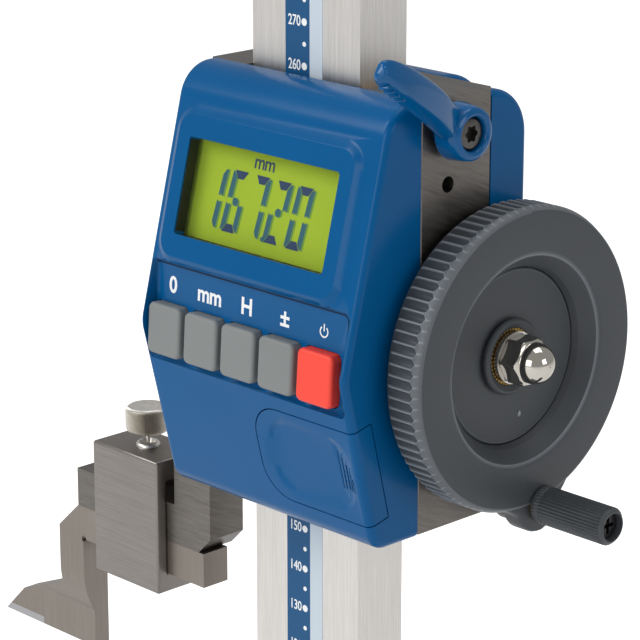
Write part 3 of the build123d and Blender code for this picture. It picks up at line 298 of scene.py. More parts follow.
def make_finishes(c):
    """Build every finish; c is the group of colours."""
    black = (0.012, 0.012, 0.013)
    FINISHES.update(
        casing=moulded("casing blue", tuple(c.casing), 0.22, 0.05, 0.16),
        lever=moulded("lever blue", tuple(c.casing), 0.08, 0.0, 0.3),
        wheel=moulded("wheel grey", tuple(c.wheel), 0.42, 0.14, 0.4),
        # handwheel rim: its pale marks are wear together with painted highlight
        wheel_worn=worn_moulded("wheel grey wear and highlight", tuple(c.wheel), (0.30, 0.33, 0.36), 0.44),
        dark=moulded("dark moulding", black, 0.4, 0.1),
        key=moulded("key grey", tuple(c.key), 0.5, 0.12),
        power=moulded("key red", tuple(c.power), 0.45, 0.1),
        column=ground("column ground along", (0.66, 0.64, 0.615), 0.40, (2600, 2600, 55)),
        block=ground("block ground aslant", (0.175, 0.162, 0.15), 0.40, (75, 75, 1500),
                     (radians(24), 0, 0), 0.35, 0.45),
        jaw=ground("jaw ground along", (0.255, 0.226, 0.20), 0.38, (2400, 2400, 60)),
        clamp=ground("clamp ground across", (0.26, 0.24, 0.222), 0.38, (60, 2400, 2400),
                     depth=0.3, contrast=0.3),
        thumb=ground("thumb screw turned", (0.84, 0.80, 0.75), 0.3, (900, 900, 900)),
        rack=ground("cut steel", (0.60, 0.59, 0.57), 0.35, (60, 2000, 2000)),
        bronze=ground("turned bronze", (0.62, 0.42, 0.20), 0.35, (80, 1500, 1500)),
        brass=ground("turned brass", (0.46, 0.29, 0.09), 0.3, (60, 1800, 1800)),
        base=cast("base iron", (0.20, 0.205, 0.21)),
        screw=blackened("black screw", (0.035, 0.035, 0.038), 0.38),
        dull_screw=blackened("dull screw", (0.085, 0.08, 0.075), 0.24),
        nut=plated("polished nut", (0.55, 0.52, 0.47), 0.07),
        washer=plated("bright washer", (0.66, 0.65, 0.63), 0.24),
        cell=plated("cell can", (0.7, 0.7, 0.7), 0.22),
        carbide=plated("lapped carbide", (0.36, 0.36, 0.37), 0.2),
        strip=printed("scale band", tuple(c.strip), 0.38),
        pale=printed("scale pale band", (0.56, 0.64, 0.71), 0.35),
        ink=printed("white ink", (0.88, 0.9, 0.9), 0.5),
        display=reflector("display reflector", tuple(c.display)),
        figure=printed("display figure", (0.006, 0.03, 0.10), 0.4),
        figure_pale=printed("display figure teal", (0.012, 0.10, 0.135), 0.4),
        figure_shadow=printed("display figure shadow", (0.12, 0.27, 0.03), 0.5),
        # painted shade along the keys' recess, in flat ink
        seam=printed("seam blue", (0.0, 0.018, 0.055), 0.5),
        liner=moulded("window liner", black, 0.5, 0.05),
        lens=lens("display window"),
        board=laminate("board", (0.02, 0.12, 0.05)),
    )


NODE_FINISH = {
    "base": "base", "column": "column", "rack": "rack", "scale_strip": "strip", "column_screws": "screw",
    "stop_screw": "screw", "slider_block": "block", "gib_strip": "bronze", "gib_screws": "screw",
    "keeper_strips": "jaw", "keeper_screws": "screw", "front_housing": "casing", "housing_screws": "screw",
    "main_board": "board", "key_board": "board", "reading_head": "dark", "lcd_panel": "display",
    "lcd_window": "lens", "battery": "cell", "battery_contacts": "brass", "rear_cover": "casing",
    "rear_cover_screws": "screw", "bearing_bushes": "bronze", "bearing_caps": "jaw", "cap_screws": "screw",
    "clamp_plug": "bronze", "pinion_shaft": "rack", "handwheel": "wheel", "wheel_insert": "brass",
    "wheel_washer": "washer", "acorn_nut": "nut", "knob_screw": "screw", "knob_washer": "brass",
    "crank_knob": "wheel", "clamp_lever": "casing", "lever_screw": "screw", "scriber_clamp": "clamp",
    "thumb_screw": "clamp", "scriber": "jaw", "carbide_tip": "carbide", "battery_cover": "casing",
    "button_1": "key", "button_2": "key", "button_3": "key", "button_4": "key", "button_5": "power",
}


# ---------------------------------------------------------------- helpers
def finished(bm, name, finish, body, smooth=True, angle=35.0, replaces=()):
    """The object of a mesh, riding on its body, with its finish."""
    mesh = bpy.data.meshes.new(name)
    bm.to_mesh(mesh)
    bm.free()
    piece = bpy.data.objects.new(name, mesh)
    bpy.context.scene.collection.objects.link(piece)
    mesh.materials.append(FINISHES[finish])
    if smooth:
        mesh.shade_smooth()
        mesh.set_sharp_from_angle(angle=radians(angle))
    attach(piece, body)
    if replaces:
        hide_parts(*replaces)
    return piece


def new_verts(grown):
    """The vertices that an extrusion made."""
    return [v for v in grown["geom"] if isinstance(v, bmesh.types.BMVert)]


def shifted(bm, place):
    """Move a whole bmesh by millimetres."""
    bmesh.ops.translate(bm, verts=bm.verts, vec=Vector(place) * MM)


def rolled(bm, edges, offset, segments):
    """Round some edges."""
    bmesh.ops.bevel(bm, geom=edges, offset=offset * MM, offset_type="OFFSET", segments=segments, profile=0.5,
                    affect="EDGES", material=-1)


def placed(origin, right, out):
    """Matrix of a plane whose Z looks outward; its origin is in millimetres."""
    z = Vector(out).normalized()
    x = (Vector(right) - z * Vector(right).dot(z)).normalized()
    y = z.cross(x)
    turn = Matrix((x, y, z)).transposed().to_4x4()
    return Matrix.Translation(Vector(origin) * MM) @ turn


def thickened(bm, verts, face, matrix, thick):
    """Give a flat face a thickness outward and put it on its plane."""
    tops = new_verts(bmesh.ops.extrude_face_region(bm, geom=[face]))
    bmesh.ops.translate(bm, verts=tops, vec=(0, 0, thick * MM))
    both = list({*verts, *tops})
    bmesh.ops.transform(bm, matrix=matrix, verts=both)
    bmesh.ops.recalc_face_normals(bm, faces=list({f for v in both for f in v.link_faces}))


def plate_shape(bm, points, matrix, thick):
    """A flat shape on a plane, given by its outline."""
    verts = [bm.verts.new((x * MM, y * MM, 0)) for x, y in points]
    face = bm.faces.new(verts)
    if face.normal.z < 0:
        face.normal_flip()
    thickened(bm, verts, face, matrix, thick)


def disc(bm, centre, radius, matrix, thick):
    """A flat round dot on a plane."""
    verts = bmesh.ops.create_circle(bm, cap_ends=True, segments=20, radius=radius * MM)["verts"]
    move = Matrix.Translation((centre[0] * MM, centre[1] * MM, 0))
    thickened(bm, verts, verts[0].link_faces[0], matrix @ move, thick)


def words(text, height, matrix, thick, align, spacing, weight, narrow=1.0):
    """A mesh of plain lettering on a plane; its capital height is given in metres."""
    curve = bpy.data.curves.new("lettering", "FONT")
    curve.body = text
    curve.size = height / CAPITAL_SHARE
    curve.align_x = align
    curve.align_y = "CENTER"
    curve.space_character = spacing
    curve.extrude = thick * MM / 2
    curve.offset = weight
    curve.resolution_u = 3
    holder = bpy.data.objects.new("lettering", curve)
    mesh = bpy.data.meshes.new_from_object(holder)
    mesh.transform(matrix @ Matrix.Diagonal((narrow, 1, 1, 1)))
    bpy.data.objects.remove(holder)
    bpy.data.curves.remove(curve)
    return mesh


# planes of the casing, in millimetres, as in the model's source
NOSE_Y, NOSE_Z = -32.6, 272.3
FRONT_LEAN = 0.25094
LCD_X, LCD_Z, LCD_DEPTH = 3.0, 304.3, 3.36
PANEL_Y, PANEL_Z = -29.955, 271.0
PANEL_TILT = 0.06527
KEY_X = [-21.9 + 12.4 * k for k in range(5)]
KEY_FLOOR = 1.18
PANEL_MIDDLE, PANEL_WIDE, PANEL_LONG, PANEL_UP = 4.35, 64.7, 23.55, 4.25


def upper_face(x, z, depth):
    """Matrix of the face around the display, at a depth below it."""
    y = NOSE_Y + FRONT_LEAN * (z - NOSE_Z)
    length = hypot(1, FRONT_LEAN)
    origin = (x, y + depth / length, z - depth * FRONT_LEAN / length)
    return placed(origin, (1, 0, 0), (0, -1, FRONT_LEAN))


def key_floor(x, up):
    """Matrix on the floor of the keys' recess, at a distance above its middle line."""
    length = hypot(1, PANEL_TILT)
    origin = (x, PANEL_Y + KEY_FLOOR / length, PANEL_Z - KEY_FLOOR * PANEL_TILT / length)
    return placed(origin, (1, 0, 0), (0, -1, PANEL_TILT)) @ Matrix.Translation((0, up * MM, 0))


# ---------------------------------------------------------------- operators
class GAUGE_OT_finishes(bpy.types.Operator):
    """Give every part of the frame its finish"""
    bl_idname = "gauge.finishes"
    bl_label = "Finishes"

    def execute(self, context):
        make_finishes(context.scene.gauge_colours)
        for name, finish in NODE_FINISH.items():
            mesh = NODES[name].data
            mesh.materials.clear()
            mesh.materials.append(FINISHES[finish])
        return {"FINISHED"}


STRIP_FACE = -7.2 - 0.004
STRIP_LOW, STRIP_HIGH = 58.2, 470.8
BAND_MIDDLE, BAND_HALF = 3.4, 2.05
DOT_X, BIG_DOT, SMALL_DOT = -0.4, 0.86, 0.56
NUMBER_X = -1.55


class GAUGE_OT_scale(bpy.types.Operator):
    """Print the dots, numbers and pale band of the scale"""
    bl_idname = "gauge.scale"
    bl_label = "Scale marks"

    def execute(self, context):
        s = context.scene.gauge_scale

        def on_strip(x, z):
            return placed((x, STRIP_FACE, z), (1, 0, 0), (0, -1, 0))

        band, dots, numbers = bmesh.new(), bmesh.new(), bmesh.new()
        plate_shape(band, [(-BAND_HALF, STRIP_LOW), (BAND_HALF, STRIP_LOW), (BAND_HALF, STRIP_HIGH),
                           (-BAND_HALF, STRIP_HIGH)], on_strip(BAND_MIDDLE, 0), INK)
        for mark in range(0, s.last + 1, 5):
            here = on_strip(DOT_X, s.zero / MM + mark)
            disc(dots, (0, 0), BIG_DOT if mark % 10 == 0 else SMALL_DOT, here, INK)
        for mark in range(0, s.last + 1, round(s.step / MM)):
            here = on_strip(NUMBER_X, s.zero / MM + mark)
            numbers.from_mesh(words(str(mark), s.figure, here, INK, "RIGHT", 0.95, 0.00004, 0.82))
        finished(band, "scale_pale_band", "pale", "stand", smooth=False)
        finished(dots, "scale_dots", "ink", "stand", smooth=False)
        finished(numbers, "scale_numbers", "ink", "stand", smooth=False)
        return {"FINISHED"}


READING = "16720"
DECIMALS = 2
SEGMENTS = {"0": "abcdef", "1": "bc", "2": "abged", "3": "abgcd", "4": "fgbc", "5": "afgcd",
            "6": "afgedc", "7": "abc", "8": "abcdefg", "9": "abcdfg"}
# the display's figures, in millimetres from the middle of its window
FIRST_FIGURE, FIGURE_MIDDLE = -20.6, -1.2
FIGURE_GAP, BAR, CAP_DEEP = 1.6, 1.45, 1.9
UNIT_LEFT, UNIT_UP = 3.4, 8.4
DISPLAY_INK = 0.02
# liner of the window: half its width and height, its front above the face, its length and wall
LINER_ACROSS, LINER_TALL = 48.5 / 2 - 0.02, 22.4 / 2 - 0.02
LINER_FRONT, LINER_LONG, LINER_WALL = 0.75, 2.75, 0.18


class GAUGE_OT_display(bpy.types.Operator):
    """Build the figures of the display and the dark liner of its window"""
    bl_idname = "gauge.display"
    bl_label = "Display"

    def execute(self, context):
        d = context.scene.gauge_display
        half = d.digit_height / MM / 2
        pitch = d.digit_pitch / MM
        wide = pitch - FIGURE_GAP
        here = upper_face(LCD_X, LCD_Z, LCD_DEPTH)
        bars, caps = bmesh.new(), bmesh.new()

        def print_shape(bm, points, x0):
            leaning = [(x0 + x + d.slant * y, FIGURE_MIDDLE + y) for x, y in points]
            plate_shape(bm, leaning, here, DISPLAY_INK)

        upper = [(0, 0.5), (BAR / 2, 1.0), (BAR, 0.5), (BAR, half - 1.6), (BAR / 2, half - 0.55),
                 (0, half - 0.2)]
        for index, figure in enumerate(READING):
            x0 = FIRST_FIGURE + index * pitch
            parts = SEGMENTS[figure]
            for key, on_left, flip in (("f", True, 1), ("e", True, -1), ("b", False, 1), ("c", False, -1)):
                if key in parts:
                    shape = upper if on_left else [(wide - px, py) for px, py in reversed(upper)]
                    print_shape(bars, [(px, flip * py) for px, py in shape[::flip]], x0)
            for key, flip in (("a", 1), ("d", -1)):
                if key in parts:
                    inner = half - CAP_DEEP
                    shape = [(0.55, half), (wide - 0.55, half), (wide - BAR - 0.35, inner),
                             (BAR + 0.35, inner)]
                    print_shape(caps, [(px, flip * py) for px, py in shape[::-flip]], x0)
            if "g" in parts:
                disc(bars, (x0 + wide / 2 + 0.1, FIGURE_MIDDLE), 0.95, here, DISPLAY_INK)
        point = FIRST_FIGURE + (len(READING) - DECIMALS) * pitch - 0.75
        disc(bars, (point, FIGURE_MIDDLE - half + 0.5), 0.55, here, DISPLAY_INK)
        shadows = bars.copy()
        cast_by = here.to_3x3() @ Vector((0.55, -0.1, -0.01))
        shifted(shadows, cast_by)
        unit = bmesh.new()
        above = upper_face(LCD_X - UNIT_LEFT, LCD_Z + UNIT_UP, LCD_DEPTH)
        unit.from_mesh(words("mm", 0.0032, above, DISPLAY_INK, "CENTER", 0.92, 0.00006))
        for bm, name, finish in ((shadows, "display_shadows", "figure_shadow"),
                                 (bars, "display_bars", "figure_pale"), (caps, "display_caps", "figure"),
                                 (unit, "display_unit", "figure")):
            finished(bm, name, finish, "carriage", smooth=False)
        # black liner on the walls of the window
        liner = bmesh.new()
        corners = ((-1, -1), (1, -1), (1, 1), (-1, 1))
        front = [liner.verts.new((x * LINER_ACROSS * MM, y * LINER_TALL * MM, 0)) for x, y in corners]
        walls = [liner.edges.new((front[k], front[(k + 1) % 4])) for k in range(4)]
        back = new_verts(bmesh.ops.extrude_edge_only(liner, edges=walls))
        bmesh.ops.translate(liner, verts=back, vec=(0, 0, -LINER_LONG * MM))
        bmesh.ops.recalc_face_normals(liner, faces=liner.faces)
        bmesh.ops.reverse_faces(liner, faces=liner.faces)
        bmesh.ops.solidify(liner, geom=liner.faces[:], thickness=LINER_WALL * MM)
        bmesh.ops.transform(liner, matrix=upper_face(LCD_X, LCD_Z, -LINER_FRONT), verts=liner.verts)
        bmesh.ops.recalc_face_normals(liner, faces=liner.faces)
        finished(liner, "window_liner", "liner", "carriage", smooth=False)
        return {"FINISHED"}


# marks above the keys, in millimetres
CAPTION_UP, CAPTION_INK = 10.3, 0.04
POWER_UP, POWER_OUTER, POWER_INNER, POWER_GAP = 10.1, 1.35, 1.02, 76
# width and corner bend of the painted shade strip along the keys' recess
SHADE_STRIP_WIDE, SHADE_STRIP_BEND = 0.35, 1.6


class GAUGE_OT_captions(bpy.types.Operator):
    """Print the marks above the keys and paint shade along the top and the right of their recess"""
    bl_idname = "gauge.captions"
    bl_label = "Key captions"

    def execute(self, context):
        bm = bmesh.new()
        for x, text in zip(KEY_X, ("0", "mm", "H", "±")):
            bm.from_mesh(words(text, 0.0038, key_floor(x, CAPTION_UP), CAPTION_INK, "CENTER", 0.95, 0.00013))
        # power symbol: broken ring with a stroke
        here = key_floor(KEY_X[4], POWER_UP)
        steps = 22
        ring = [radians(90 + POWER_GAP / 2 + (360 - POWER_GAP) * k / steps) for k in range(steps + 1)]
        points = [(POWER_OUTER * cos(a), POWER_OUTER * sin(a)) for a in ring]
        points += [(POWER_INNER * cos(a), POWER_INNER * sin(a)) for a in reversed(ring)]
        plate_shape(bm, points, here, CAPTION_INK)
        plate_shape(bm, [(-0.17, 0.1), (0.17, 0.1), (0.17, 1.75), (-0.17, 1.75)], here, CAPTION_INK)
        finished(bm, "key_captions", "ink", "carriage", smooth=False)
        # painted shade: a dark strip along the top and the right of the keys' recess, where its walls fall in
        # shadow
        seam = bmesh.new()
        left, low = 0.4 - PANEL_WIDE / 2, 0.4 - PANEL_LONG / 2
        right, top = PANEL_WIDE / 2 - 1.5, PANEL_LONG / 2 - 0.75
        turn = [radians(90 - 15 * k) for k in range(7)]

        def bend(radius, angles):
            return [(right - SHADE_STRIP_BEND + radius * cos(a), top - SHADE_STRIP_BEND + radius * sin(a)) for a in angles]

        outline = [(left, top - SHADE_STRIP_WIDE), (left, top), *bend(SHADE_STRIP_BEND, turn), (right, low),
                   (right - SHADE_STRIP_WIDE, low), *bend(SHADE_STRIP_BEND - SHADE_STRIP_WIDE, reversed(turn))]
        plate_shape(seam, outline, key_floor(PANEL_MIDDLE, PANEL_UP), INK)
        finished(seam, "key_panel_seam", "seam", "carriage", smooth=False)
        return {"FINISHED"}


# ---------------------------------------------------------------- turned and moulded pieces
def rounded(points, steps=3):
    """Corner points of a profile, each with its own radius, with the corners turned to arcs."""
    made = []
    count = len(points)
    for k, (x, y, radius) in enumerate(points):
        if radius == 0:
            made.append((x, y))
            continue
        corner = Vector((x, y))
        before = (Vector(points[k - 1][:2]) - corner).normalized()
        after = (Vector(points[(k + 1) % count][:2]) - corner).normalized()
        half = before.angle(after) / 2
        middle = corner + (before + after).normalized() * (radius / sin(half))
        first = corner + before * (radius / tan(half)) - middle
        last = corner + after * (radius / tan(half)) - middle
        for step in range(steps + 1):
            point = middle + first.slerp(last, step / steps)
            made.append((point.x, point.y))
    return made


def turned(profile, steps, axis=(1, 0, 0)):
    """A closed profile of (along, radius) spun about the X or the Z axis, as a new bmesh."""
    bm = bmesh.new()
    verts = [bm.verts.new((x * MM, 0, r * MM)) for x, r in profile]
    edges = [bm.edges.new((verts[k - 1], verts[k])) for k in range(len(verts))]
    if axis == (0, 0, 1):
        bmesh.ops.rotate(bm, verts=verts, cent=(0, 0, 0), matrix=Matrix.Rotation(radians(-90), 3, "Y"))
        bmesh.ops.rotate(bm, verts=verts, cent=(0, 0, 0), matrix=Matrix.Rotation(radians(180), 3, "Z"))
    bmesh.ops.spin(bm, geom=verts + edges, cent=(0, 0, 0), axis=axis, dvec=(0, 0, 0), angle=2 * pi,
                   steps=steps, use_merge=True)
    bmesh.ops.remove_doubles(bm, verts=bm.verts, dist=1e-7)
    bmesh.ops.recalc_face_normals(bm, faces=bm.faces)
    return bm


def toothed(bm, count, above, radius, across):
    """Bring every second line of a turned rim in to a radius; across gives the two axes to measure it on."""
    a, b = across
    for v in bm.verts:
        reach = hypot(v.co[a], v.co[b]) / MM
        if reach > above and round(atan2(v.co[b], v.co[a]) / (2 * pi) * count) % 2:
            v.co[a] *= radius / reach
            v.co[b] *= radius / reach


def joined(bm, part, move=(0, 0, 0), turn=None):
    """Add a part to a bmesh, turned and then moved by millimetres."""
    if turn is not None:
        bmesh.ops.transform(part, matrix=turn, verts=part.verts)
    shifted(part, move)
    bmesh.ops.recalc_face_normals(part, faces=part.faces)
    mesh = bpy.data.meshes.new("part")
    part.to_mesh(mesh)
    part.free()
    bm.from_mesh(mesh)
    bpy.data.meshes.remove(mesh)


# handwheel, in millimetres: its shaft, its two ends along X and its radii
SHAFT_Y, SHAFT_Z = 12.8, 270.5
SHAFT = (0, SHAFT_Y, SHAFT_Z)
WHEEL_BACK, WHEEL_FRONT = 40.25, 49.75
WHEEL_RADIUS, BORE, HUB_RADIUS = 35.0, 6.62, 8.1
DISH_RADIUS, GUTTER_RADIUS, BACK_DISH = 19.8, 21.0, (9.0, 22.0)
DISH = WHEEL_FRONT - 5.0
HUB = DISH + 0.6
GUTTER = DISH - 1.4
# grip: where the grooves end, how far their sides fall short of the middle, and their run-out
GRIP_TIP, GRIP_POINT, GRIP_RUN = WHEEL_FRONT - 1.05, 1.0, 0.35
# a pitch of the grip: a narrow crest, its shoulders, the flanks and a flat valley
GRIP_SHARES = (-0.035, 0.035, 0.15, 0.34, 0.5, 0.66, 0.85)
GRIP_DEPTHS = (0.0, 0.0, 0.6, 0.9, 1.0, 0.9, 0.6)
NIB = (DISH, 16.3, 256.2)
CRANK_Y, CRANK_Z = 18.598, 235.477
EAR_RADIUS, EAR_THICK = 6.9, 4.9


def grip(bm, ridges, groove):
    """Cut the grooves into a turned rim and mark, in one attribute, its rubbed lines and its painted
    highlights.
    """
    worn = bm.verts.layers.float.new("worn")
    lines = len(GRIP_SHARES)
    for v in bm.verts:
        turn = atan2(v.co.z, v.co.y) / (2 * pi)
        pitch, line = divmod(round(turn * ridges * lines) % (ridges * lines), lines)
        share = GRIP_SHARES[line]
        angle = (pitch + share) * 2 * pi / ridges
        radius = hypot(v.co.y, v.co.z) / MM
        x = v.co.x / MM
        if radius > WHEEL_RADIUS - 0.2 and x < GRIP_TIP + 0.02:
            # a groove runs out in a point: its middle reaches further than its sides
            near = min(abs(share), 1 - abs(share)) * 2
            inside = GRIP_TIP - 0.15 - (1 - near) * GRIP_POINT - x
            radius -= GRIP_DEPTHS[line] * groove * min(1.0, max(0.0, inside / GRIP_RUN))
            # crest lines and the pointed ends of the grooves are rubbed paler and also carry a painted
            # highlight; the band past the grooves' ends carries a painted highlight
            on_edge = inside < 0.04 or line < 2
            v[worn] = 0.3 if inside < -0.2 else 0.95 if on_edge else 0.0
        # rounded front edge of the rim: painted highlight
        elif radius > WHEEL_RADIUS - 1.1 and x > GRIP_TIP:
            v[worn] = 0.3
        # edge of the ring round the dish and the rounded lip: painted highlights
        elif abs(radius - 21.75) < 0.12 or abs(radius - 24.2) < 0.35:
            v[worn] = 0.55
        # edge of the raised disc: painted highlight
        elif abs(radius - 19.75) < 0.2 and x > DISH - 0.4:
            v[worn] = 0.25
        v.co.y = radius * cos(angle) * MM
        v.co.z = radius * sin(angle) * MM
    return worn


def crank_ear():
    """The ear that carries the crank knob, pointing along Y from the shaft's axis."""
    reach = hypot(CRANK_Z - SHAFT_Z, CRANK_Y - SHAFT_Y)
    root = [(25.6, 3.0), (27.5, 8.0), (31.0, 13.0), (33.2, 10.4), (34.8, 8.6), (36.0, 7.2)]
    nose = [(reach + EAR_RADIUS * sin(radians(a)), EAR_RADIUS * cos(radians(a))) for a in range(12, 90, 13)]
    side = root + nose
    ring = side + [(reach + EAR_RADIUS + 0.1, 0.0)] + [(u, -v) for u, v in reversed(side)]
    ear = bmesh.new()
    face = ear.faces.new([ear.verts.new((0, u * MM, v * MM)) for u, v in ring])
    tops = new_verts(bmesh.ops.extrude_face_region(ear, geom=[face]))
    bmesh.ops.translate(ear, verts=tops, vec=(EAR_THICK * MM, 0, 0))
    rolled(ear, list({e for v in tops for e in v.link_edges if e.other_vert(v) in tops}), 0.8, 3)
    return ear


class GAUGE_OT_handwheel(bpy.types.Operator):
    """Turn the handwheel with its ridged rim, dished face and ear"""
    bl_idname = "gauge.handwheel"
    bl_label = "Handwheel"

    def execute(self, context):
        w = context.scene.gauge_wheel
        band = [(GRIP_TIP - 0.14 * k, WHEEL_RADIUS, 0) for k in range(12)]
        # along, radius and the corner's own radius, from the bore over the face, the rim and the back
        outline = [
            (HUB, BORE, 0), (HUB, HUB_RADIUS, 0.25), (DISH, HUB_RADIUS, 0.2), (DISH, DISH_RADIUS, 0.4),
            (GUTTER, DISH_RADIUS - 0.1, 0), (GUTTER, GUTTER_RADIUS, 0), (DISH + 0.2, GUTTER_RADIUS + 0.1, 0.25),
            (DISH + 1.4, 21.75, 0.18), (WHEEL_FRONT - 0.55, 23.9, 0.6), (WHEEL_FRONT, 25.0, 0.7),
            (WHEEL_FRONT, WHEEL_RADIUS - 1.15, 0.5), *band, (WHEEL_BACK + 1.6, WHEEL_RADIUS, 0),
            (WHEEL_BACK + 1.2, WHEEL_RADIUS - 0.1, 0), (WHEEL_BACK, WHEEL_RADIUS - 1.6, 0.5),
            (WHEEL_BACK, BACK_DISH[1], 0.2), (WHEEL_BACK + 1.4, BACK_DISH[1], 0),
            (WHEEL_BACK + 1.4, BACK_DISH[0], 0), (WHEEL_BACK, BACK_DISH[0], 0.2), (WHEEL_BACK, BORE, 0)]
        bm = turned(rounded(outline), w.ridges * len(GRIP_SHARES))
        worn = grip(bm, w.ridges, w.groove / MM)
        shifted(bm, SHAFT)
        # small nib where the moulding was gated
        nib = bmesh.new()
        bmesh.ops.create_icosphere(nib, subdivisions=2, radius=0.75 * MM)
        bmesh.ops.scale(nib, verts=nib.verts, vec=(0.35, 0.8, 1.1))
        joined(bm, nib, NIB)
        # the gate nib: painted glint
        for v in bm.verts:
            away = v.co - (Vector(NIB) + Vector((0.2, 0, 0))) * MM
            if away.length < 0.9 * MM and v.co.x > (DISH + 0.1) * MM:
                v[worn] = 1.0
        # ear and the boss behind it
        turn = atan2(CRANK_Z - SHAFT_Z, CRANK_Y - SHAFT_Y)
        joined(bm, crank_ear(), (DISH, SHAFT_Y, SHAFT_Z), Matrix.Rotation(turn, 4, "X"))
        boss = rounded([(0, 1.65, 0), (0, 5.3, 0.5), (8.0, 5.3, 0), (8.0, 1.65, 0)])
        joined(bm, turned(boss, 40), (WHEEL_BACK, CRANK_Y, CRANK_Z))
        finished(bm, "handwheel_rim", "wheel_worn", "handwheel", angle=28.0,
                 replaces=("handwheel",))
        # brass insert with splines on its edge
        count = w.splines * 2
        bm = turned([(WHEEL_BACK + 0.6, 3.02), (WHEEL_BACK + 0.6, 6.55), (HUB - 0.1, 6.6), (HUB - 0.1, 6.25),
                     (HUB - 0.35, 6.15), (HUB - 0.35, 3.02)], count)
        toothed(bm, count, 6.4, 6.16, (1, 2))
        shifted(bm, SHAFT)
        finished(bm, "wheel_brass_insert", "brass", "handwheel", angle=20.0,
                 replaces=("wheel_insert",))
        return {"FINISHED"}


def star_screw(radius, head, star_radius, deep):
    """A round screw head facing +X with a six-lobed recess; its seat is at X = 0."""
    bm = bmesh.new()
    outer = bmesh.ops.create_circle(bm, segments=48, radius=radius * MM)["verts"]
    rim = list({e for v in outer for e in v.link_edges})
    inner = bmesh.ops.create_circle(bm, segments=48, radius=star_radius * MM)["verts"]
    for v in inner:
        v.co *= 1 + 0.14 * cos(6 * atan2(v.co.y, v.co.x))
    lobes = list({e for v in inner for e in v.link_edges})
    bmesh.ops.bridge_loops(bm, edges=rim + lobes)
    for edges, fall in ((lobes, deep), (rim, head)):
        grown = bmesh.ops.extrude_edge_only(bm, edges=edges)
        bmesh.ops.translate(bm, verts=new_verts(grown), vec=(0, 0, -fall * MM))
        ends = [e for e in grown["geom"] if isinstance(e, bmesh.types.BMEdge) and e.is_boundary]
        bmesh.ops.contextual_create(bm, geom=ends)
    bmesh.ops.recalc_face_normals(bm, faces=bm.faces)
    rolled(bm, rim, 0.35, 3)
    turn = Matrix(((0, 0, 1, head * MM), (1, 0, 0, 0), (0, 1, 0, 0), (0, 0, 0, 1)))
    bmesh.ops.transform(bm, matrix=turn, verts=bm.verts)
    return bm


def subdivided(bm, levels):
    """The mesh of a control cage after subdivision, as a new bmesh."""
    mesh = bpy.data.meshes.new("cage")
    bm.to_mesh(mesh)
    bm.free()
    holder = bpy.data.objects.new("cage", mesh)
    bpy.context.scene.collection.objects.link(holder)
    smooth = holder.modifiers.new("smooth", "SUBSURF")
    smooth.levels = levels
    smooth.render_levels = levels
    graph = bpy.context.evaluated_depsgraph_get()
    result = bmesh.new()
    result.from_mesh(holder.evaluated_get(graph).to_mesh())
    holder.evaluated_get(graph).to_mesh_clear()
    bpy.data.objects.remove(holder)
    bpy.data.meshes.remove(mesh)
    return result


# clamp lever, in millimetres and degrees
LEVER_Y, LEVER_Z, LEVER_TURN = -0.8, 323.2, 149.0
PIVOT = (0, LEVER_Y, LEVER_Z)
# the arm from the boss to the tip: along, upper side, lower side, top, underside
LEVER_STATIONS = (
    (2.2, 4.2, -3.9, 44.7, 40.6), (6.4, 3.6, -3.9, 45.5, 40.9), (10.2, 4.2, -3.4, 46.8, 41.4),
    (15.5, 4.6, -3.2, 48.2, 42.4), (21.0, 4.5, -3.3, 49.5, 43.6), (27.0, 4.2, -3.3, 50.6, 44.9),
    (31.8, 3.7, -3.3, 51.0, 46.0), (35.2, 3.1, -2.9, 51.0, 46.9), (37.0, 2.3, -2.4, 50.7, 47.5),
    (37.7, 1.4, -1.6, 50.1, 48.0))
RIBS_AT = (27.5, 29.8, 32.1, 34.4)
RIB_SIZE = (2.7, 0.55, 0.9)


def lever_arm():
    """The folded arm with its grip ribs, along Y, its upper side on -Z."""
    cage = bmesh.new()
    rows = []
    for s, up, low, top, under in LEVER_STATIONS:
        tall = top - under
        row = [(up, top - 0.48 * tall), (up - 0.1, top - 0.33 * tall), (up - 1.4, top - 0.17 * tall),
               (low + 2.6, top - 0.02 * tall), (low + 1.75, top), (low + 1.25, top - 0.07 * tall),
               (low + 0.3, top - 0.38 * tall), (low, top - 0.60 * tall), (low + 0.15, top - 0.9 * tall),
               (low + 0.9, under), (up - 0.9, under), (up - 0.1, top - 0.84 * tall)]
        rows.append([cage.verts.new((x * MM, s * MM, t * MM)) for t, x in row])
    loops = [[cage.edges.new((row[k], row[(k + 1) % len(row)])) for k in range(len(row))] for row in rows]
    for a, b in zip(loops, loops[1:]):
        bmesh.ops.bridge_loops(cage, edges=a + b)
    cage.faces.new(rows[0])
    cage.faces.new(rows[-1])
    bmesh.ops.recalc_face_normals(cage, faces=cage.faces)
    bm = subdivided(cage, 3)
    bmesh.ops.scale(bm, verts=bm.verts, vec=(1, 1, -1))
    bmesh.ops.recalc_face_normals(bm, faces=bm.faces)
    for s in RIBS_AT:
        rib = bmesh.new()
        bmesh.ops.create_cube(rib, size=1.0)
        bmesh.ops.scale(rib, verts=rib.verts, vec=Vector(RIB_SIZE) * MM)
        rolled(rib, rib.edges[:], 0.2, 2)
        further = s - RIBS_AT[0]
        joined(bm, rib, (47.9 + 0.17 * further, s, 2.95 - 0.02 * further),
               Matrix.Rotation(radians(14), 4, "Y"))
    return bm


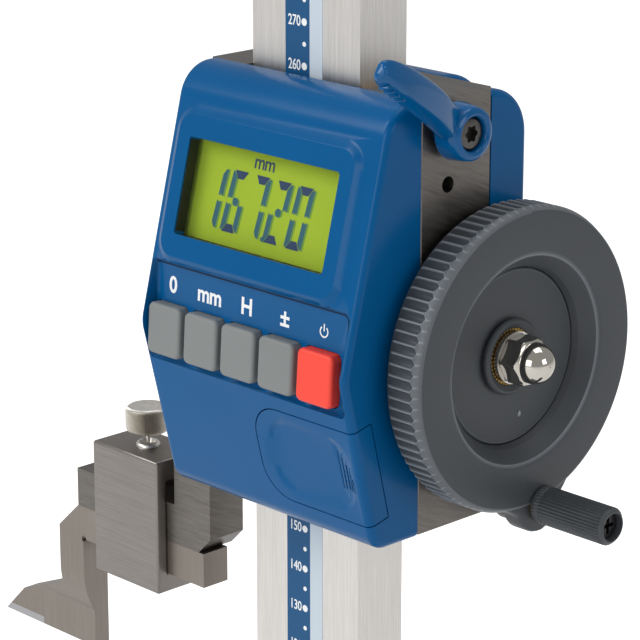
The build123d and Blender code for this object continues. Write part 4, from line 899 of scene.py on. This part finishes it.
class GAUGE_OT_lever(bpy.types.Operator):
    """Model the clamp lever: ringed boss, folded arm with grip ribs, and its screw"""
    bl_idname = "gauge.lever"
    bl_label = "Clamp lever"

    def execute(self, context):
        bm = bmesh.new()
        joined(bm, lever_arm(), PIVOT, Matrix.Rotation(radians(LEVER_TURN), 4, "X"))
        # boss with its raised ring
        profile = rounded([(38.3, 2.53, 0), (38.3, 4.2, 0), (40.0, 4.2, 0), (40.0, 5.9, 0.4), (43.6, 5.95, 0.8),
                           (45.4, 5.4, 0.6), (45.4, 4.35, 0.45), (42.55, 4.15, 0), (42.55, 2.53, 0)], 4)
        joined(bm, turned(profile, 72), PIVOT)
        finished(bm, "clamp_lever_arm", "lever", "clamp_lever", angle=50.0,
                 replaces=("clamp_lever",))
        screw = bmesh.new()
        joined(screw, star_screw(3.45, 2.1, 1.75, 1.5), (42.66, LEVER_Y, LEVER_Z))
        joined(screw, turned([(23.65, 0.02), (23.65, 2.5), (42.7, 2.5), (42.7, 0.02)], 32), PIVOT)
        finished(screw, "lever_star_screw", "dull_screw", "clamp_lever",
                 replaces=("lever_screw",))
        return {"FINISHED"}


# thumb screw: the underside of its head, in millimetres, and its radii
THUMB = (-60.05, -4.35, 231.7)
HEAD_RADIUS, THREAD_RADIUS, NECK_RADIUS = 4.75, 2.15, 1.35


class GAUGE_OT_thumb_screw(bpy.types.Operator):
    """Turn the knurled thumb screw of the scriber clamp"""
    bl_idname = "gauge.thumb_screw"
    bl_label = "Thumb screw"

    def execute(self, context):
        profile = rounded([
            (0.3, 1.8, 0.3), (0.3, HEAD_RADIUS - 0.4, 0.2), (0.65, HEAD_RADIUS, 0.2),
            (4.85, HEAD_RADIUS, 0.15), (5.3, HEAD_RADIUS - 0.45, 0.2), (5.3, 0.02, 0), (-14.75, 0.02, 0),
            (-14.75, THREAD_RADIUS, 0), (-4.1, THREAD_RADIUS, 0.05), (-4.1, NECK_RADIUS, 0.1),
            (-0.4, NECK_RADIUS, 0.4)], 4)
        count = 144
        bm = turned(profile, count, (0, 0, 1))
        toothed(bm, count, HEAD_RADIUS - 0.02, HEAD_RADIUS - 0.06, (0, 1))
        shifted(bm, THUMB)
        finished(bm, "thumb_knurled_screw", "thumb", "thumb_screw", angle=40.0,
                 replaces=("thumb_screw",))
        return {"FINISHED"}


# nodes drawn by a smooth copy, each with the angle in degrees above which an edge stays sharp
SMOOTH_COPIES = {
    "front_housing": 24.0, "rear_cover": 30.0, "battery_cover": 24.0, "base": 30.0, "acorn_nut": 24.0,
    "wheel_washer": 30.0, "knob_washer": 30.0, "button_1": 30.0, "button_2": 30.0, "button_3": 30.0,
    "button_4": 30.0, "button_5": 30.0, "slider_block": 24.0, "scriber": 24.0, "crank_knob": 30.0,
    "scriber_clamp": 30.0,
}
# of these, the ones whose edges are rounded, with the width in millimetres
EDGE_WEAR = {"scriber_clamp": 0.35}


class GAUGE_OT_smooth_parts(bpy.types.Operator):
    """Give curved parts a merged copy with soft shading"""
    bl_idname = "gauge.smooth_parts"
    bl_label = "Smooth parts"

    def execute(self, context):
        record = frame["record"]
        bodies = {node: body for body, nodes in record["behaviour"]["bodies"].items() for node in nodes}
        for name, angle in SMOOTH_COPIES.items():
            bm = bmesh.new()
            bm.from_mesh(NODES[name].data)
            bmesh.ops.remove_doubles(bm, verts=bm.verts, dist=2e-6)
            bmesh.ops.dissolve_degenerate(bm, edges=bm.edges, dist=1e-6)
            piece = finished(bm, name + "_smooth", NODE_FINISH[name], bodies[name], angle=angle,
                             replaces=(name,))
            if name in EDGE_WEAR:
                soft = piece.modifiers.new("soft edges", "BEVEL")
                soft.width = EDGE_WEAR[name] * MM
                soft.segments = 2
                soft.limit_method = "ANGLE"
                soft.angle_limit = radians(50)
                soft.use_clamp_overlap = True
            even = piece.modifiers.new("even shading", "WEIGHTED_NORMAL")
            even.keep_sharp = True
        return {"FINISHED"}


# stage, in metres, watts and degrees: the floor, the light from all round, the lamps and the camera
FLOOR_HALF, FLOOR_DROP, FLOOR_WHITE, FLOOR_GLOW = 6.0, 0.0002, (0.86, 0.86, 0.86), 0.62
MIRRORED_GLOW = 0.4
ROUND_LIGHT, BACKDROP = 0.42, 1.0
LAMPS = (  # name, place, aim, size, power
    ("key lamp", (-0.9, -1.3, 1.5), (0, 0, 0.27), 1.0, 17.0),
    ("front lamp", (0.35, -1.9, 0.75), (0, 0, 0.28), 1.1, 9.0),
    ("side lamp", (1.9, 0.35, 0.85), (0, 0, 0.26), 0.8, 5.5),
    ("top lamp", (0.1, 0.4, 2.1), (0, 0, 0.25), 1.2, 10.0))
CAMERA_AT = (442.95, -428.7, 456.1)
CAMERA_TURN, CAMERA_DOWN = 46.12, 16.64
LENS, SENSOR = 157.0, 36.0


class GAUGE_OT_stage(bpy.types.Operator):
    """Pale floor, soft studio lamps and the camera"""
    bl_idname = "gauge.stage"
    bl_label = "Stage"

    def execute(self, context):
        scene = context.scene
        scene.view_settings.view_transform = "Standard"
        # floor
        bm = bmesh.new()
        bmesh.ops.create_grid(bm, x_segments=1, y_segments=1, size=FLOOR_HALF)
        mesh = bpy.data.meshes.new("floor")
        bm.to_mesh(mesh)
        bm.free()
        floor = bpy.data.objects.new("floor", mesh)
        scene.collection.objects.link(floor)
        floor.location.z = -FLOOR_DROP
        f = Finish("floor white", FLOOR_WHITE, 0.9)
        ray = f.tree.nodes.new("ShaderNodeLightPath")
        seen = Wire(f, ray.outputs["Is Glossy Ray"]) * MIRRORED_GLOW + Wire(f, ray.outputs["Is Camera Ray"])
        f.shader.inputs["Emission Strength"].default_value = FLOOR_GLOW
        f.link("Emission Color", f.blend(seen, (0, 0, 0, 1), (1, 1, 1, 1)))
        mesh.materials.append(f.material)
        # world
        world = bpy.data.worlds.new("studio")
        scene.world = world
        world.use_nodes = True
        tree = world.node_tree
        back = tree.nodes["Background"]
        path = tree.nodes.new("ShaderNodeLightPath")
        mix = tree.nodes.new("ShaderNodeMix")
        mix.data_type = "FLOAT"
        tree.links.new(path.outputs["Is Camera Ray"], mix.inputs[0])
        mix.inputs[2].default_value = ROUND_LIGHT
        mix.inputs[3].default_value = BACKDROP
        back.inputs["Color"].default_value = (1, 1, 1, 1)
        tree.links.new(mix.outputs[0], back.inputs["Strength"])
        # lamps
        for name, place, aim, size, power in LAMPS:
            data = bpy.data.lights.new(name, "AREA")
            data.shape = "RECTANGLE"
            data.size = size
            data.size_y = size
            data.energy = power
            lamp = bpy.data.objects.new(name, data)
            scene.collection.objects.link(lamp)
            lamp.location = place
            lamp.rotation_euler = (Vector(aim) - Vector(place)).to_track_quat("-Z", "Y").to_euler()
        # camera at the viewing angle, turned to take in the scriber's arm
        data = bpy.data.cameras.new("camera")
        data.lens = LENS
        data.sensor_width = SENSOR
        camera = bpy.data.objects.new("camera", data)
        scene.collection.objects.link(camera)
        turn, down = radians(CAMERA_TURN), radians(CAMERA_DOWN)
        ahead = Vector((-sin(turn) * cos(down), cos(turn) * cos(down), -sin(down)))
        camera.location = Vector(CAMERA_AT) * MM
        camera.rotation_euler = ahead.to_track_quat("-Z", "Y").to_euler()
        scene.camera = camera
        return {"FINISHED"}


class GAUGE_PT_panel(bpy.types.Panel):
    """Height gauge tools"""
    bl_idname = "GAUGE_PT_panel"
    bl_label = "Height gauge"
    bl_space_type = "VIEW_3D"
    bl_region_type = "UI"
    bl_category = "Height gauge"

    def draw(self, context):
        scene = context.scene
        for group in (scene.gauge_scale, scene.gauge_display, scene.gauge_wheel, scene.gauge_colours):
            box = self.layout.box()
            for key in group.__annotations__:
                box.prop(group, key)
        for operator in OPERATORS:
            self.layout.operator(operator.bl_idname)


OPERATORS = (GAUGE_OT_finishes, GAUGE_OT_smooth_parts, GAUGE_OT_handwheel, GAUGE_OT_lever,
             GAUGE_OT_thumb_screw, GAUGE_OT_scale, GAUGE_OT_display, GAUGE_OT_captions, GAUGE_OT_stage)
CLASSES = (GaugeScale, GaugeDisplay, GaugeWheel, GaugeColours, *OPERATORS, GAUGE_PT_panel)


def register():
    for cls in CLASSES:
        bpy.utils.register_class(cls)
    bpy.types.Scene.gauge_scale = bpy.props.PointerProperty(type=GaugeScale)
    bpy.types.Scene.gauge_display = bpy.props.PointerProperty(type=GaugeDisplay)
    bpy.types.Scene.gauge_wheel = bpy.props.PointerProperty(type=GaugeWheel)
    bpy.types.Scene.gauge_colours = bpy.props.PointerProperty(type=GaugeColours)


def unregister():
    del bpy.types.Scene.gauge_scale
    del bpy.types.Scene.gauge_display
    del bpy.types.Scene.gauge_wheel
    del bpy.types.Scene.gauge_colours
    for cls in reversed(CLASSES):
        bpy.utils.unregister_class(cls)


def main():
    register()
    bpy.ops.gauge.finishes()
    bpy.ops.gauge.smooth_parts()
    bpy.ops.gauge.handwheel()
    bpy.ops.gauge.lever()
    bpy.ops.gauge.thumb_screw()
    bpy.ops.gauge.scale()
    bpy.ops.gauge.display()
    bpy.ops.gauge.captions()
    bpy.ops.gauge.stage()


if __name__ == "__main__":
    main()
